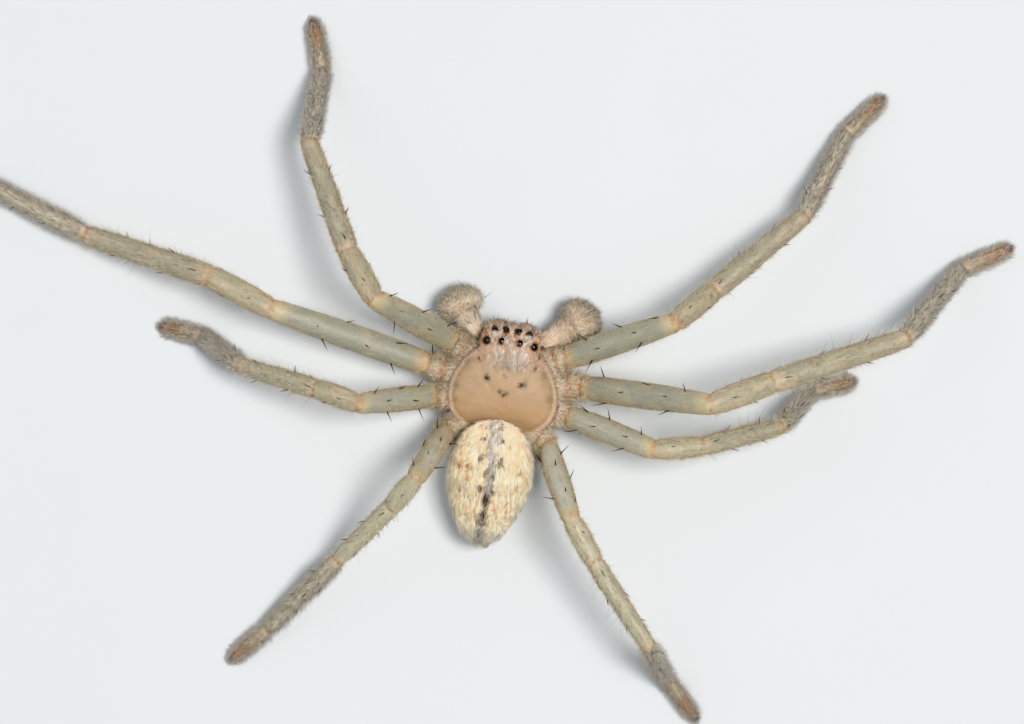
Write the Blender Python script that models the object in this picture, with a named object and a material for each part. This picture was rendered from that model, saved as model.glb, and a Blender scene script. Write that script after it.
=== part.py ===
"""Huntsman spider, a still life-size figure in a wide resting stance.

World frame: metres, +Z up, the floor at z = 0. The spider faces -Y, its own left
is +X, and the origin is under the middle of its bounding box.
Inside the file a place is written as (side, forward, height) in millimetres from
the point of the floor below the middle of the carapace: side grows towards the
spider's right, forward towards its head.
"""

import math

import bmesh
import bpy
import numpy as np
from mathutils import Matrix, Vector

MM = 0.001

# Gaps between neighbouring pieces
GAP = 0.30
EYE_GAP = 0.14

# How finely the tubes and the body are divided
LEG_SIDES = 12
BODY_SIDES = 24
SMALL_SIDES = 10

# Cephalothorax: (forward, half width, top, edge, bottom) at each station
CARAPACE_STATIONS = (
    (-3.00, 0.95, 2.98, 2.84, 2.60),
    (-2.75, 1.95, 3.30, 3.02, 2.38),
    (-2.35, 2.75, 3.70, 3.18, 2.15),
    (-1.75, 3.40, 4.20, 3.30, 1.95),
    (-1.00, 3.75, 4.60, 3.35, 1.85),
    (-0.30, 3.85, 4.85, 3.40, 1.80),
    (0.50, 3.78, 5.05, 3.42, 1.80),
    (1.20, 3.55, 5.15, 3.45, 1.80),
    (1.90, 3.20, 5.20, 3.50, 1.85),
    (2.55, 2.68, 5.20, 3.55, 2.00),
    (3.00, 2.28, 5.15, 3.60, 2.35),
    (3.50, 2.14, 5.02, 3.78, 3.36),
    (4.00, 2.08, 4.82, 3.95, 3.74),
    (4.40, 1.86, 4.55, 4.02, 3.80),
    (4.68, 1.30, 4.27, 4.04, 3.86),
)
CARAPACE_ROUNDNESS = 2.5
UNDERSIDE_TUCK = 0.36

# Stalk between the cephalothorax and the abdomen
PEDICEL_START = (0.0, -2.2, 2.9)
PEDICEL_END = (0.0, -2.92, 2.50)
PEDICEL_RADIUS = 0.38

# Abdomen: (forward, half width, centre height, half height) at each station
ABDOMEN_STATIONS = (
    (-1.86, 0.50, 5.20, 0.28),
    (-2.00, 1.02, 5.13, 0.52),
    (-2.35, 1.66, 4.98, 0.86),
    (-2.90, 2.26, 4.70, 1.28),
    (-3.60, 2.66, 4.36, 1.70),
    (-4.50, 2.94, 4.08, 2.04),
    (-5.50, 3.03, 3.92, 2.20),
    (-6.50, 2.98, 3.80, 2.16),
    (-7.40, 2.76, 3.70, 1.98),
    (-8.30, 2.42, 3.58, 1.72),
    (-9.20, 1.96, 3.44, 1.36),
    (-9.95, 1.44, 3.34, 0.98),
    (-10.45, 0.92, 3.28, 0.62),
    (-10.72, 0.42, 3.26, 0.28),
)
ABDOMEN_PIVOT = -2.6
ABDOMEN_TURN = math.radians(1.2)

# Spinnerets: a low boss under the tip of the abdomen and three pairs of cones on it,
# each pair given by its side, how far up the boss it starts and how far down it points
SPINNERET_BOSS = ((0.0, -9.86, 1.96), (0.0, -10.02, 1.68))
SPINNERET_BOSS_RADII = (0.58, 0.50)
SPINNERET_LENGTH = 0.80
SPINNERET_RADIUS = 0.25
SPINNERET_ROWS = ((0.30, 0.16, -0.10), (0.17, 0.02, -0.22), (0.34, -0.10, -0.34))

# Chelicerae: (height, forward, half width, half depth) from the root down
CHELICERA_SIDE = 0.90
CHELICERA_STATIONS = (
    (3.44, 4.22, 0.46, 0.42),
    (3.28, 4.26, 0.66, 0.60),
    (2.85, 4.31, 0.74, 0.68),
    (2.30, 4.32, 0.74, 0.70),
    (1.80, 4.30, 0.62, 0.62),
    (1.48, 4.28, 0.46, 0.48),
    (1.40, 4.28, 0.36, 0.38),
)
FANG_PATH = ((1.02, 4.28, 1.10), (0.97, 4.30, 0.86), (0.74, 4.30, 0.72), (0.36, 4.28, 0.74))
FANG_RADII = (0.27, 0.25, 0.19, 0.07)

# Eyes: name, side, forward, radius
EYES = (
    ("front_median", 0.46, 4.50, 0.25),
    ("front_side", 1.24, 4.38, 0.26),
    ("rear_median", 0.64, 3.67, 0.25),
    ("rear_side", 1.68, 3.58, 0.28),
)
EYE_RISE = 1.0

# Pedipalps: root, knee, tibia end and tip for each side, on the right of the body
PALP_JOINTS = {
    "right": ((2.02, 3.84, 2.30), (2.84, 4.44, 2.80), (3.66, 5.00, 2.08), (5.70, 6.74, 1.48)),
    "left": ((2.02, 3.84, 2.30), (2.72, 4.40, 2.72), (3.48, 5.06, 2.12), (4.70, 6.95, 1.48)),
}
PALP_FEMUR_PROFILE = ((0.0, 0.36), (0.3, 0.43), (0.75, 0.50), (1.0, 0.52))
PALP_TIBIA_PROFILE = ((0.0, 0.58), (0.35, 0.76), (1.0, 0.98))
PALP_TARSUS_PROFILE = ((0.10, 1.14), (0.26, 1.50), (0.46, 1.66), (0.66, 1.58), (0.84, 1.20), (0.97, 0.60))
PALP_TARSUS_FLATNESS = 0.80
MAXILLA = ((0.72, 1.7, 2.45), (1.12, 2.7, 2.30), (1.30, 3.28, 2.20))
MAXILLA_RADII = (0.30, 0.52, 0.36)

# Coxae: root of each one under the carapace, and the joint that its leg starts from
COXA_ROOT = {1: (1.2, 1.9, 2.60), 2: (1.5, 0.7, 2.60), 3: (1.5, -0.6, 2.60), 4: (1.1, -1.7, 2.60)}
HIP = {1: (3.98, 3.10, 2.60), 2: (5.45, 1.28, 2.60), 3: (4.74, -0.84, 2.60), 4: (3.56, -3.12, 2.60)}
COXA_PROFILE = ((0.0, 0.50), (0.35, 0.80), (0.76, 0.98), (1.0, 0.84))

# Leg segments, from the body outwards
SEGMENTS = ("femur", "patella", "tibia", "metatarsus", "tarsus")
SEGMENT_LENGTHS = {
    1: (9.15, 3.95, 8.55, 7.20, 3.70),
    2: (12.00, 4.75, 10.20, 9.00, 3.90),
    3: (7.65, 3.35, 6.05, 5.25, 3.15),
    4: (7.90, 3.35, 7.05, 7.40, 3.50),
}
SEGMENT_RADII = {
    1: (0.98, 0.88, 0.82, 0.65, 0.54),
    2: (1.00, 0.92, 0.88, 0.67, 0.56),
    3: (0.93, 0.80, 0.73, 0.62, 0.52),
    4: (0.90, 0.78, 0.69, 0.61, 0.51),
}
SEGMENT_PROFILES = {
    "femur": ((0.0, 0.76), (0.08, 0.92), (0.3, 1.0), (0.62, 0.98), (0.88, 0.87), (1.0, 0.80)),
    "patella": ((0.0, 0.86), (0.2, 0.95), (0.5, 1.0), (0.8, 0.97), (1.0, 0.90)),
    "tibia": ((0.0, 0.93), (0.1, 1.0), (0.4, 0.98), (0.7, 0.93), (0.92, 0.88), (1.0, 0.80)),
    "metatarsus": ((0.0, 0.90), (0.1, 1.0), (0.5, 0.95), (0.9, 0.90), (1.0, 0.84)),
    "tarsus": (
        (0.0, 0.92), (0.12, 1.0), (0.45, 1.0), (0.72, 0.97), (0.88, 0.86), (0.97, 0.62), (1.0, 0.34),
    ),
}
# Share of a segment over which its slanted end straightens out
SLANT_REACH = 0.45

# Stance of each leg: the bearing of every segment in degrees, 0 straight ahead and
# 90 straight out, and the height of the joint at its far end
FOOT_HEIGHTS = (0.85, 0.25)
STANCE = {
    (1, "right"): ((63.0, 43.0, 42.0, 20.0, 37.0), (7.15, 5.30, 3.60)),
    (1, "left"): ((69.5, 38.5, 28.5, 1.0, 19.0), (9.40, 8.10, 5.70)),
    (2, "right"): ((89.0, 62.0, 63.5, 34.0, 58.5), (10.80, 9.30, 6.90)),
    (2, "left"): ((79.0, 70.5, 80.0, 71.5, 75.0), (5.30, 5.20, 1.50)),
    (3, "right"): ((103.0, 77.0, 68.0, 36.0, 70.0), (6.80, 6.90, 4.75)),
    (3, "left"): ((104.0, 79.5, 82.0, 63.0, 85.0), (8.20, 6.95, 4.70)),
    (4, "right"): ((153.0, 143.5, 139.0, 142.5, 135.5), (8.50, 8.50, 7.50)),
    (4, "left"): ((156.0, 148.5, 143.5, 143.0, 138.5), (9.50, 7.20, 2.95)),
}

# Colour, roughness and metallic value of each material
FINISHES = {
    "carapace": ((0.60, 0.40, 0.21), 0.55, 0.0),
    "abdomen": ((0.78, 0.66, 0.42), 0.70, 0.0),
    "leg": ((0.46, 0.43, 0.31), 0.55, 0.0),
    "leg_end": ((0.38, 0.30, 0.26), 0.65, 0.0),
    "palp": ((0.62, 0.42, 0.27), 0.65, 0.0),
    "chelicera": ((0.35, 0.20, 0.11), 0.45, 0.0),
    "fang": ((0.06, 0.02, 0.01), 0.15, 0.0),
    "eye": ((0.01, 0.01, 0.01), 0.05, 0.0),
}


def clear_scene():
    """Removes whatever the file opened with."""
    for leftover in list(bpy.data.objects):
        bpy.data.objects.remove(leftover, do_unlink=True)


def world_point(side, forward, height):
    """Turns a (side, forward, height) place in millimetres into metres, head towards -Y."""
    return Vector((-side, -forward, height)) * MM


def mirrored(place, hand):
    """Returns a place given for the right of the body on the asked side."""
    side, forward, height = place
    return (side if hand == "right" else -side, forward, height)


def node_material(node, finish):
    """Makes the Principled material of one node."""
    colour, roughness, metallic = FINISHES[finish]
    material = bpy.data.materials.new(f"{node}_{finish}")
    material.use_nodes = True
    shader = material.node_tree.nodes["Principled BSDF"]
    shader.inputs["Base Color"].default_value = (*colour, 1.0)
    shader.inputs["Roughness"].default_value = roughness
    shader.inputs["Metallic"].default_value = metallic
    material.diffuse_color = (*colour, 1.0)
    return material


def extrude_through(rings):
    """Extrudes the first ring's face through every other ring, with no face left inside."""
    form = bmesh.new()
    face = form.faces.new([form.verts.new(point) for point in rings[0]])
    inner = []
    for ring in rings[1:]:
        grown = bmesh.ops.extrude_face_region(form, geom=[face])["geom"]
        face = next(item for item in grown if isinstance(item, bmesh.types.BMFace))
        inner.append(face)
        for vertex, point in zip(face.verts, ring):
            vertex.co = point
    bmesh.ops.delete(form, geom=inner[:-1], context="FACES_ONLY")
    bmesh.ops.recalc_face_normals(form, faces=form.faces)
    return form


def add_object(node, finish, form, pose=None, parent=None):
    """Puts a form, drawn in world space, into an object that is placed by its pose."""
    pose = pose or Matrix.Identity(4)
    form.transform(pose.inverted())
    mesh = bpy.data.meshes.new(node)
    form.to_mesh(mesh)
    form.free()
    mesh.shade_smooth()
    mesh.set_sharp_from_angle(angle=math.radians(50))
    mesh.materials.append(node_material(node, finish))
    piece = bpy.data.objects.new(node, mesh)
    bpy.context.collection.objects.link(piece)
    if parent is not None:
        piece.parent = parent
    bpy.context.view_layer.update()
    piece.matrix_world = pose
    bpy.context.view_layer.update()
    return piece


def fuse(piece, extras):
    """Unites a piece with the closed helper solids that grow out of it."""
    helpers = bpy.data.collections.new(f"{piece.name}_parts")
    for extra in extras:
        for home in list(extra.users_collection):
            home.objects.unlink(extra)
        helpers.objects.link(extra)
        extra.hide_render = True
        extra.display_type = "WIRE"
    bpy.context.scene.collection.children.link(helpers)
    union = piece.modifiers.new("union", "BOOLEAN")
    union.operation = "UNION"
    union.operand_type = "COLLECTION"
    union.collection = helpers
    union.solver = "EXACT"
    bpy.context.view_layer.update()
    joined = bpy.data.meshes.new_from_object(piece.evaluated_get(bpy.context.evaluated_depsgraph_get()))
    piece.modifiers.remove(union)
    piece.data = joined
    for extra in list(extras):
        bpy.data.objects.remove(extra, do_unlink=True)
    bpy.data.collections.remove(helpers)


def profile_value(profile, fraction):
    """Reads a list of (fraction, value) pairs at any fraction."""
    return float(np.interp(fraction, [pair[0] for pair in profile], [pair[1] for pair in profile]))


def segment_frame(start, end):
    """Returns the lengthwise, sideways and upward directions of a segment."""
    along = (end - start).normalized()
    sideways = along.cross(Vector((0.0, 0.0, 1.0))).normalized()
    upward = sideways.cross(along).normalized()
    return along, sideways, upward


def segment_pose(start, end):
    """Returns the placement of a segment: its origin on its inner joint, +X along it."""
    along, sideways, upward = segment_frame(start, end)
    turn = Matrix((along, -sideways, upward)).transposed().to_4x4()
    return Matrix.Translation(start) @ turn


def tube_rings(start, end, start_face, end_face, profile, sides, flatness=1.0, trim=(GAP, GAP)):
    """Rings of a tube whose two end faces lie on the given joint planes.

    A ring point sits at its offset across the tube, slid along it by the slant of the
    nearer joint plane, which fades out towards the middle of the tube.
    """
    along, sideways, upward = segment_frame(start, end)
    length = (end - start).length
    reach = SLANT_REACH * length
    rings = []
    for fraction, radius in profile:
        distance = fraction * length
        near = max(0.0, 1.0 - distance / reach) ** 2
        far = max(0.0, 1.0 - (length - distance) / reach) ** 2
        ring = []
        for step in range(sides):
            angle = 2.0 * math.pi * (step + 0.5) / sides
            offset = sideways * (math.cos(angle) * radius * MM)
            offset = offset + upward * (math.sin(angle) * radius * flatness * MM)
            start_slide = (0.5 * trim[0] * MM - offset.dot(start_face)) / along.dot(start_face)
            end_slide = (-0.5 * trim[1] * MM - offset.dot(end_face)) / along.dot(end_face)
            ring.append(start + offset + along * (distance + near * start_slide + far * end_slide))
        rings.append(ring)
    return rings


def scaled_profile(profile, radius):
    """Multiplies a profile of shares by a radius."""
    return tuple((fraction, share * radius) for fraction, share in profile)


def path_rings(path, radii, sides):
    """Rings square to a bent path of (side, forward, height) places, with rounded ends."""
    points = [world_point(*place) for place in path]
    rings = []
    for index, (point, radius) in enumerate(zip(points, radii)):
        before = points[max(index - 1, 0)]
        after = points[min(index + 1, len(points) - 1)]
        along = (after - before).normalized()
        sideways = along.cross(Vector((0.0, 0.0, 1.0)))
        if sideways.length < 0.2:
            sideways = along.cross(Vector((0.0, 1.0, 0.0)))
        sideways.normalize()
        upward = sideways.cross(along)
        ring = []
        for step in range(sides):
            angle = 2.0 * math.pi * step / sides
            spoke = sideways * math.cos(angle) + upward * math.sin(angle)
            ring.append(point + spoke * (radius * MM))
        rings.append(ring)
    return rings


def carapace_station(forward):
    """Half width, top, edge and bottom of the cephalothorax at a forward distance."""
    places = [station[0] for station in CARAPACE_STATIONS]
    return [float(np.interp(forward, places, [station[i] for station in CARAPACE_STATIONS])) for i in range(1, 5)]


def carapace_height(side, forward):
    """Height of the carapace's upper surface over a point."""
    half_width, top, edge, _ = carapace_station(forward)
    share = min(abs(side) / half_width, 1.0) ** CARAPACE_ROUNDNESS
    return edge + (top - edge) * (1.0 - share) ** (1.0 / CARAPACE_ROUNDNESS)


def carapace_normal(side, forward, reach=0.22):
    """Outward direction of the carapace at a point, from the heights around it."""
    across = carapace_height(side + reach, forward) - carapace_height(side - reach, forward)
    lengthwise = carapace_height(side, forward + reach) - carapace_height(side, forward - reach)
    return Vector((across / (2.0 * reach), lengthwise / (2.0 * reach), 1.0)).normalized()


def carapace_ring(forward, half_width, top, edge, bottom):
    """Cross-section of the cephalothorax: a domed top over a tucked-in underside."""
    ring = []
    power = 2.0 / CARAPACE_ROUNDNESS
    for step in range(BODY_SIDES):
        angle = 2.0 * math.pi * step / BODY_SIDES
        cosine = math.cos(angle)
        sine = math.sin(angle)
        spread = math.copysign(abs(cosine) ** power, cosine)
        rise = abs(sine) ** power
        if sine >= 0.0:
            height = edge + (top - edge) * rise
            tuck = 1.0
        else:
            height = edge - (edge - bottom) * rise
            tuck = 1.0 - UNDERSIDE_TUCK * rise ** 0.5
        ring.append(world_point(half_width * spread * tuck, forward, height))
    return ring


def leg_points(pair, hand):
    """Joints of one leg, from the hip to the tip, in world space."""
    bearings, heights = STANCE[(pair, hand)]
    sign = 1.0 if hand == "right" else -1.0
    side, forward, height = mirrored(HIP[pair], hand)
    points = [world_point(side, forward, height)]
    for length, bearing, next_height in zip(SEGMENT_LENGTHS[pair], bearings, heights + FOOT_HEIGHTS):
        run = math.sqrt(length ** 2 - (next_height - height) ** 2)
        side += sign * run * math.sin(math.radians(bearing))
        forward += run * math.cos(math.radians(bearing))
        height = next_height
        points.append(world_point(side, forward, height))
    return points


def joint_faces(points):
    """Directions square to the planes that part a chain of segments at its joints."""
    directions = [(after - before).normalized() for before, after in zip(points, points[1:])]
    inner = [(first + second).normalized() for first, second in zip(directions, directions[1:])]
    return [directions[0]] + inner + [directions[-1]]


def coxa_root(pair, hand):
    """Root of a coxa, under the carapace."""
    return world_point(*mirrored(COXA_ROOT[pair], hand))


def build_legs(root):
    """Eight legs of five segments, each segment hung from the one before it."""
    for pair, hand in STANCE:
        points = [coxa_root(pair, hand)] + leg_points(pair, hand)
        faces = joint_faces(points)[1:]
        points = points[1:]
        parent = root
        for index, segment in enumerate(SEGMENTS):
            start, end = points[index], points[index + 1]
            profile = scaled_profile(SEGMENT_PROFILES[segment], SEGMENT_RADII[pair][index])
            last = segment == SEGMENTS[-1]
            trim = (GAP, 0.0) if last else (GAP, GAP)
            rings = tube_rings(
                start, end, faces[index], faces[index + 1], profile, LEG_SIDES, trim=trim
            )
            form = extrude_through([[stand_on_floor(point) for point in ring] for ring in rings])
            finish = "leg_end" if segment in ("metatarsus", "tarsus") else "leg"
            node = f"leg_{pair}_{hand}_{segment}"
            parent = add_object(node, finish, form, segment_pose(start, end), parent)


def stand_on_floor(point):
    """Flattens the sole of a foot where it would pass the floor."""
    return Vector((point.x, point.y, max(point.z, 0.0)))


def build_coxa(pair, hand):
    """One coxa, from under the carapace out to the plane of its leg's first joint."""
    start = coxa_root(pair, hand)
    hip, knee = leg_points(pair, hand)[:2]
    faces = joint_faces([start, hip, knee])
    rings = tube_rings(start, hip, faces[0], faces[1], COXA_PROFILE, LEG_SIDES, trim=(0.0, GAP))
    return add_object(f"coxa_{pair}_{hand}", "carapace", extrude_through(rings))


def build_cephalothorax(root):
    """Carapace, sternum, coxae, maxillae and stalk as one closed body."""
    rings = [carapace_ring(*station) for station in CARAPACE_STATIONS]
    body = add_object("cephalothorax", "carapace", extrude_through(rings), parent=root)
    extras = [build_coxa(pair, hand) for pair, hand in STANCE]
    stalk = path_rings((PEDICEL_START, PEDICEL_END), (PEDICEL_RADIUS, PEDICEL_RADIUS), SMALL_SIDES)
    extras.append(add_object("pedicel", "carapace", extrude_through(stalk)))
    for hand in ("left", "right"):
        lobe = path_rings([mirrored(place, hand) for place in MAXILLA], MAXILLA_RADII, SMALL_SIDES)
        extras.append(add_object(f"maxilla_{hand}", "carapace", extrude_through(lobe)))
    fuse(body, extras)


def abdomen_place(side, forward, height):
    """Place on the abdomen, which is turned a little about the stalk."""
    arm = forward - ABDOMEN_PIVOT
    turned_side = side * math.cos(ABDOMEN_TURN) + arm * math.sin(ABDOMEN_TURN)
    turned_forward = ABDOMEN_PIVOT + arm * math.cos(ABDOMEN_TURN) - side * math.sin(ABDOMEN_TURN)
    return world_point(turned_side, turned_forward, height)


def build_abdomen(root):
    """Egg-shaped abdomen, lofted through its stations."""
    rings = []
    for forward, half_width, centre, half_height in ABDOMEN_STATIONS:
        ring = []
        for step in range(BODY_SIDES):
            angle = 2.0 * math.pi * step / BODY_SIDES
            side = half_width * math.cos(angle)
            ring.append(abdomen_place(side, forward, centre + half_height * math.sin(angle)))
        rings.append(ring)
    add_object("abdomen", "abdomen", extrude_through(rings), parent=root)


def build_spinnerets(root):
    """Boss and six short cones below the tip of the abdomen."""
    rings = path_rings(SPINNERET_BOSS, SPINNERET_BOSS_RADII, LEG_SIDES)
    body = add_object("spinnerets", "abdomen", extrude_through(rings), parent=root)
    middle = np.mean(SPINNERET_BOSS, axis=0)
    extras = []
    for row, (side, rise, drop) in enumerate(SPINNERET_ROWS):
        for hand in ("left", "right"):
            base = middle + np.array(mirrored((side, 0.0, rise), hand))
            tip = base + np.array((0.0, -SPINNERET_LENGTH, drop))
            cone = path_rings((base, tip), (SPINNERET_RADIUS, 0.4 * SPINNERET_RADIUS), SMALL_SIDES)
            extras.append(add_object(f"cone_{row}_{hand}", "abdomen", extrude_through(cone)))
    fuse(body, extras)


def build_jaws(root):
    """Two chelicerae with a folded fang under each."""
    for hand in ("left", "right"):
        rings = []
        for height, forward, half_width, half_depth in CHELICERA_STATIONS:
            ring = []
            for step in range(LEG_SIDES):
                angle = 2.0 * math.pi * step / LEG_SIDES
                side = CHELICERA_SIDE + half_width * math.cos(angle)
                place = (side, forward + half_depth * math.sin(angle), height)
                ring.append(world_point(*mirrored(place, hand)))
            rings.append(ring)
        jaw = add_object(f"chelicera_{hand}", "chelicera", extrude_through(rings), parent=root)
        fang = path_rings([mirrored(place, hand) for place in FANG_PATH], FANG_RADII, SMALL_SIDES)
        add_object(f"fang_{hand}", "fang", extrude_through(fang), parent=jaw)


def build_palps(root):
    """Two pedipalps, each a femur and a tibia that swells into the bulb of the tarsus."""
    for hand in ("left", "right"):
        places = [world_point(*mirrored(place, hand)) for place in PALP_JOINTS[hand]]
        base, knee, wrist, tip = places
        faces = joint_faces([base, knee, wrist])
        rings = tube_rings(base, knee, faces[0], faces[1], PALP_FEMUR_PROFILE, LEG_SIDES)
        form = extrude_through(rings)
        femur = add_object(f"pedipalp_{hand}_femur", "palp", form, segment_pose(base, knee), root)
        bend = (wrist - knee).normalized() + (tip - wrist).normalized()
        bend.normalize()
        rings = tube_rings(
            knee, wrist, faces[1], bend, PALP_TIBIA_PROFILE, LEG_SIDES, PALP_TARSUS_FLATNESS, (GAP, 0.0)
        )
        rings += tube_rings(
            wrist, tip, bend, (tip - wrist).normalized(), PALP_TARSUS_PROFILE, LEG_SIDES,
            PALP_TARSUS_FLATNESS, (0.0, 0.0),
        )
        form = extrude_through(rings)
        add_object(f"pedipalp_{hand}_tarsus", "palp", form, segment_pose(knee, wrist), femur)


def build_eyes(root):
    """Eight domed eyes in two rows, each set square on the head."""
    for name, side, forward, radius in EYES:
        slope = carapace_normal(side, forward)
        foot = Vector((side, forward, carapace_height(side, forward)))
        outward = Vector((-slope.x, -slope.y, slope.z)).normalized()
        foot = foot + outward * EYE_GAP
        for hand in ("left", "right"):
            axis = world_point(*mirrored(outward, hand)).normalized()
            base = world_point(*mirrored(foot, hand))
            sideways = axis.cross(Vector((0.0, 1.0, 0.0))).normalized()
            upward = sideways.cross(axis)
            rings = []
            for latitude in (0.0, 25.0, 50.0, 72.0):
                reach = radius * math.cos(math.radians(latitude))
                rise = radius * EYE_RISE * math.sin(math.radians(latitude))
                ring = []
                for step in range(SMALL_SIDES):
                    angle = 2.0 * math.pi * step / SMALL_SIDES
                    spoke = sideways * math.cos(angle) + upward * math.sin(angle)
                    ring.append(base + (spoke * reach + axis * rise) * MM)
                rings.append(ring)
            add_object(f"eye_{name}_{hand}", "eye", extrude_through(rings), parent=root)


def centre_on_origin(root):
    """Moves the whole spider so that the origin lies under the middle of its box."""
    corners = [
        piece.matrix_world @ vertex.co
        for piece in bpy.data.objects if piece.type == "MESH"
        for vertex in piece.data.vertices
    ]
    places = np.array([corner[:] for corner in corners])
    middle = 0.5 * (places.min(axis=0) + places.max(axis=0))
    root.location = (-middle[0], -middle[1], 0.0)
    bpy.context.view_layer.update()


def main():
    """Builds every piece under one empty and centres it."""
    clear_scene()
    root = bpy.data.objects.new("spider", None)
    bpy.context.collection.objects.link(root)
    build_cephalothorax(root)
    build_abdomen(root)
    build_spinnerets(root)
    build_jaws(root)
    build_palps(root)
    build_eyes(root)
    build_legs(root)
    centre_on_origin(root)


main()
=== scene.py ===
"""Looks of a pale huntsman spider at life size, in a wide resting stance.

Inside the file a place is (side, forward, height) in millimetres, the last axis of an array: side
grows towards the spider's right and forward towards its head. Places become the frame's metres
only when a mesh is written. Every skin is a grid of rings, and every hair grows from such a grid.
"""

import logging
import math
from dataclasses import dataclass, field
from enum import Enum

import bpy
import numpy as np
from mathutils import Matrix, Vector


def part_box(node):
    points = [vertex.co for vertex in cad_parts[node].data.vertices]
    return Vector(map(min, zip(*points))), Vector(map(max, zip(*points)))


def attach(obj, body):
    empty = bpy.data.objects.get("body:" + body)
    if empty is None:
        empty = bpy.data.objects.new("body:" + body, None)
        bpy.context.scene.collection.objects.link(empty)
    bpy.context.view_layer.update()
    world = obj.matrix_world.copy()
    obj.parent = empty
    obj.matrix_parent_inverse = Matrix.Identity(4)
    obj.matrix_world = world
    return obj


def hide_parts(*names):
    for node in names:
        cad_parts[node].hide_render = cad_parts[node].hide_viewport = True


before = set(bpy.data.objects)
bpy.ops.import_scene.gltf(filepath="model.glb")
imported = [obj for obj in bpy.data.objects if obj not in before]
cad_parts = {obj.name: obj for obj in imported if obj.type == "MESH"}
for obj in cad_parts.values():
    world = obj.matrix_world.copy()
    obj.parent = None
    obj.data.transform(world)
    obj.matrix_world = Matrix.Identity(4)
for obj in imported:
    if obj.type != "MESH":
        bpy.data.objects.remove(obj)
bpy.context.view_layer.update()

LOG = logging.getLogger("huntsman")
MM = 0.001
SEED = 20
HANDS = ("left", "right")
UP = np.array((0.0, 0.0, 1.0))
JAW_FORWARD = 4.32


def frame_shift() -> np.ndarray:
    """Returns where the frame holds the point below the carapace's middle, from the two jaws."""
    boxes = [np.array([corner[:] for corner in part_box(f"chelicera_{hand}")]) for hand in HANDS]
    middle = np.mean([box.mean(axis=0) for box in boxes], axis=0)
    return np.array((middle[0], middle[1] + JAW_FORWARD * MM, 0.0))


SHIFT = frame_shift()


def to_frame(places: np.ndarray) -> np.ndarray:
    """Turns (side, forward, height) in millimetres into metres of the frame, head towards -Y."""
    return places * np.array((-MM, -MM, MM)) + SHIFT


def mirrored(place: tuple[float, ...], hand: str) -> np.ndarray:
    """Puts a place given for the right of the body on the asked side."""
    return np.array(place) * ((1.0 if hand == "right" else -1.0), 1.0, 1.0)


def tone(red: int, green: int, blue: int) -> np.ndarray:
    """Turns a screen colour of 0 to 255 a channel into linear light."""
    shares = np.array((red, green, blue)) / 255.0
    return np.where(shares < 0.04045, shares / 12.92, ((shares + 0.055) / 1.055) ** 2.4)


def unit(vectors: np.ndarray) -> np.ndarray:
    """Scales vectors to length one."""
    return vectors / np.maximum(np.linalg.norm(vectors, axis=-1, keepdims=True), 1e-12)


def fade(values: np.ndarray, start: float, end: float) -> np.ndarray:
    """Rises smoothly from 0 at start to 1 at end, which may be the smaller of the two."""
    share = np.clip((values - start) / (end - start), 0.0, 1.0)
    return share * share * (3.0 - 2.0 * share)


def laid(under: np.ndarray, over: np.ndarray, cover: np.ndarray) -> np.ndarray:
    """Lays a colour over another, as far as cover says at each place."""
    return under + (over - under) * np.asarray(cover)[..., None]


def mottle(places: np.ndarray, size: float, seed: int) -> np.ndarray:
    """A smooth random field, mostly within -1 to 1: fourteen waves of about one size, added.

    Args:
        places: Places in millimetres.
        size: Length of the waves in millimetres.
        seed: Picks their directions and phases.

    Returns:
        One number for each place.
    """
    draw = np.random.default_rng(seed)
    waves = unit(draw.normal(size=(14, 3))) * (2.0 * math.pi / size) * draw.uniform(0.6, 1.5, (14, 1))
    phases = draw.uniform(0.0, 2.0 * math.pi, 14)
    return np.sin(places @ waves.T + phases).sum(axis=-1) / 3.4


def dots(places: np.ndarray, spots: tuple[tuple[float, ...], ...]) -> np.ndarray:
    """How much of a dot covers each place, seen from above.

    Args:
        places: Places in millimetres.
        spots: Side, forward, half width and half length of every dot.

    Returns:
        The strongest dot at each place, 0 to 1, each one a bell over its two half sizes.
    """
    cover = np.zeros(places.shape[:-1])
    for side, forward, half_width, half_length in spots:
        across = (places[..., 0] - side) / half_width
        lengthwise = (places[..., 1] - forward) / half_length
        cover = np.maximum(cover, np.exp(-across ** 2 - lengthwise ** 2))
    return cover


@dataclass(frozen=True)
class Curve:
    """A smooth curve through chosen stations: the first number is the place, the rest its values."""

    stations: tuple[tuple[float, ...], ...]

    def at(self, where: np.ndarray) -> np.ndarray:
        """Reads the values anywhere, by cubic pieces with the slopes of the stations' parabolas."""
        table = np.array(sorted(self.stations))
        knots, values = table[:, 0], table[:, 1:]
        slopes = np.gradient(values, knots, axis=0) if len(knots) > 1 else values * 0.0
        piece = np.clip(np.searchsorted(knots, where) - 1, 0, len(knots) - 2)
        gap = (knots[piece + 1] - knots[piece])[..., None]
        share = np.clip((where - knots[piece])[..., None] / gap, 0.0, 1.0)
        rest = 1.0 - share
        return (
            rest ** 2 * (1.0 + 2.0 * share) * values[piece]
            + share ** 2 * (3.0 - 2.0 * share) * values[piece + 1]
            + gap * share * rest * (rest * slopes[piece] - share * slopes[piece + 1])
        )


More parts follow.
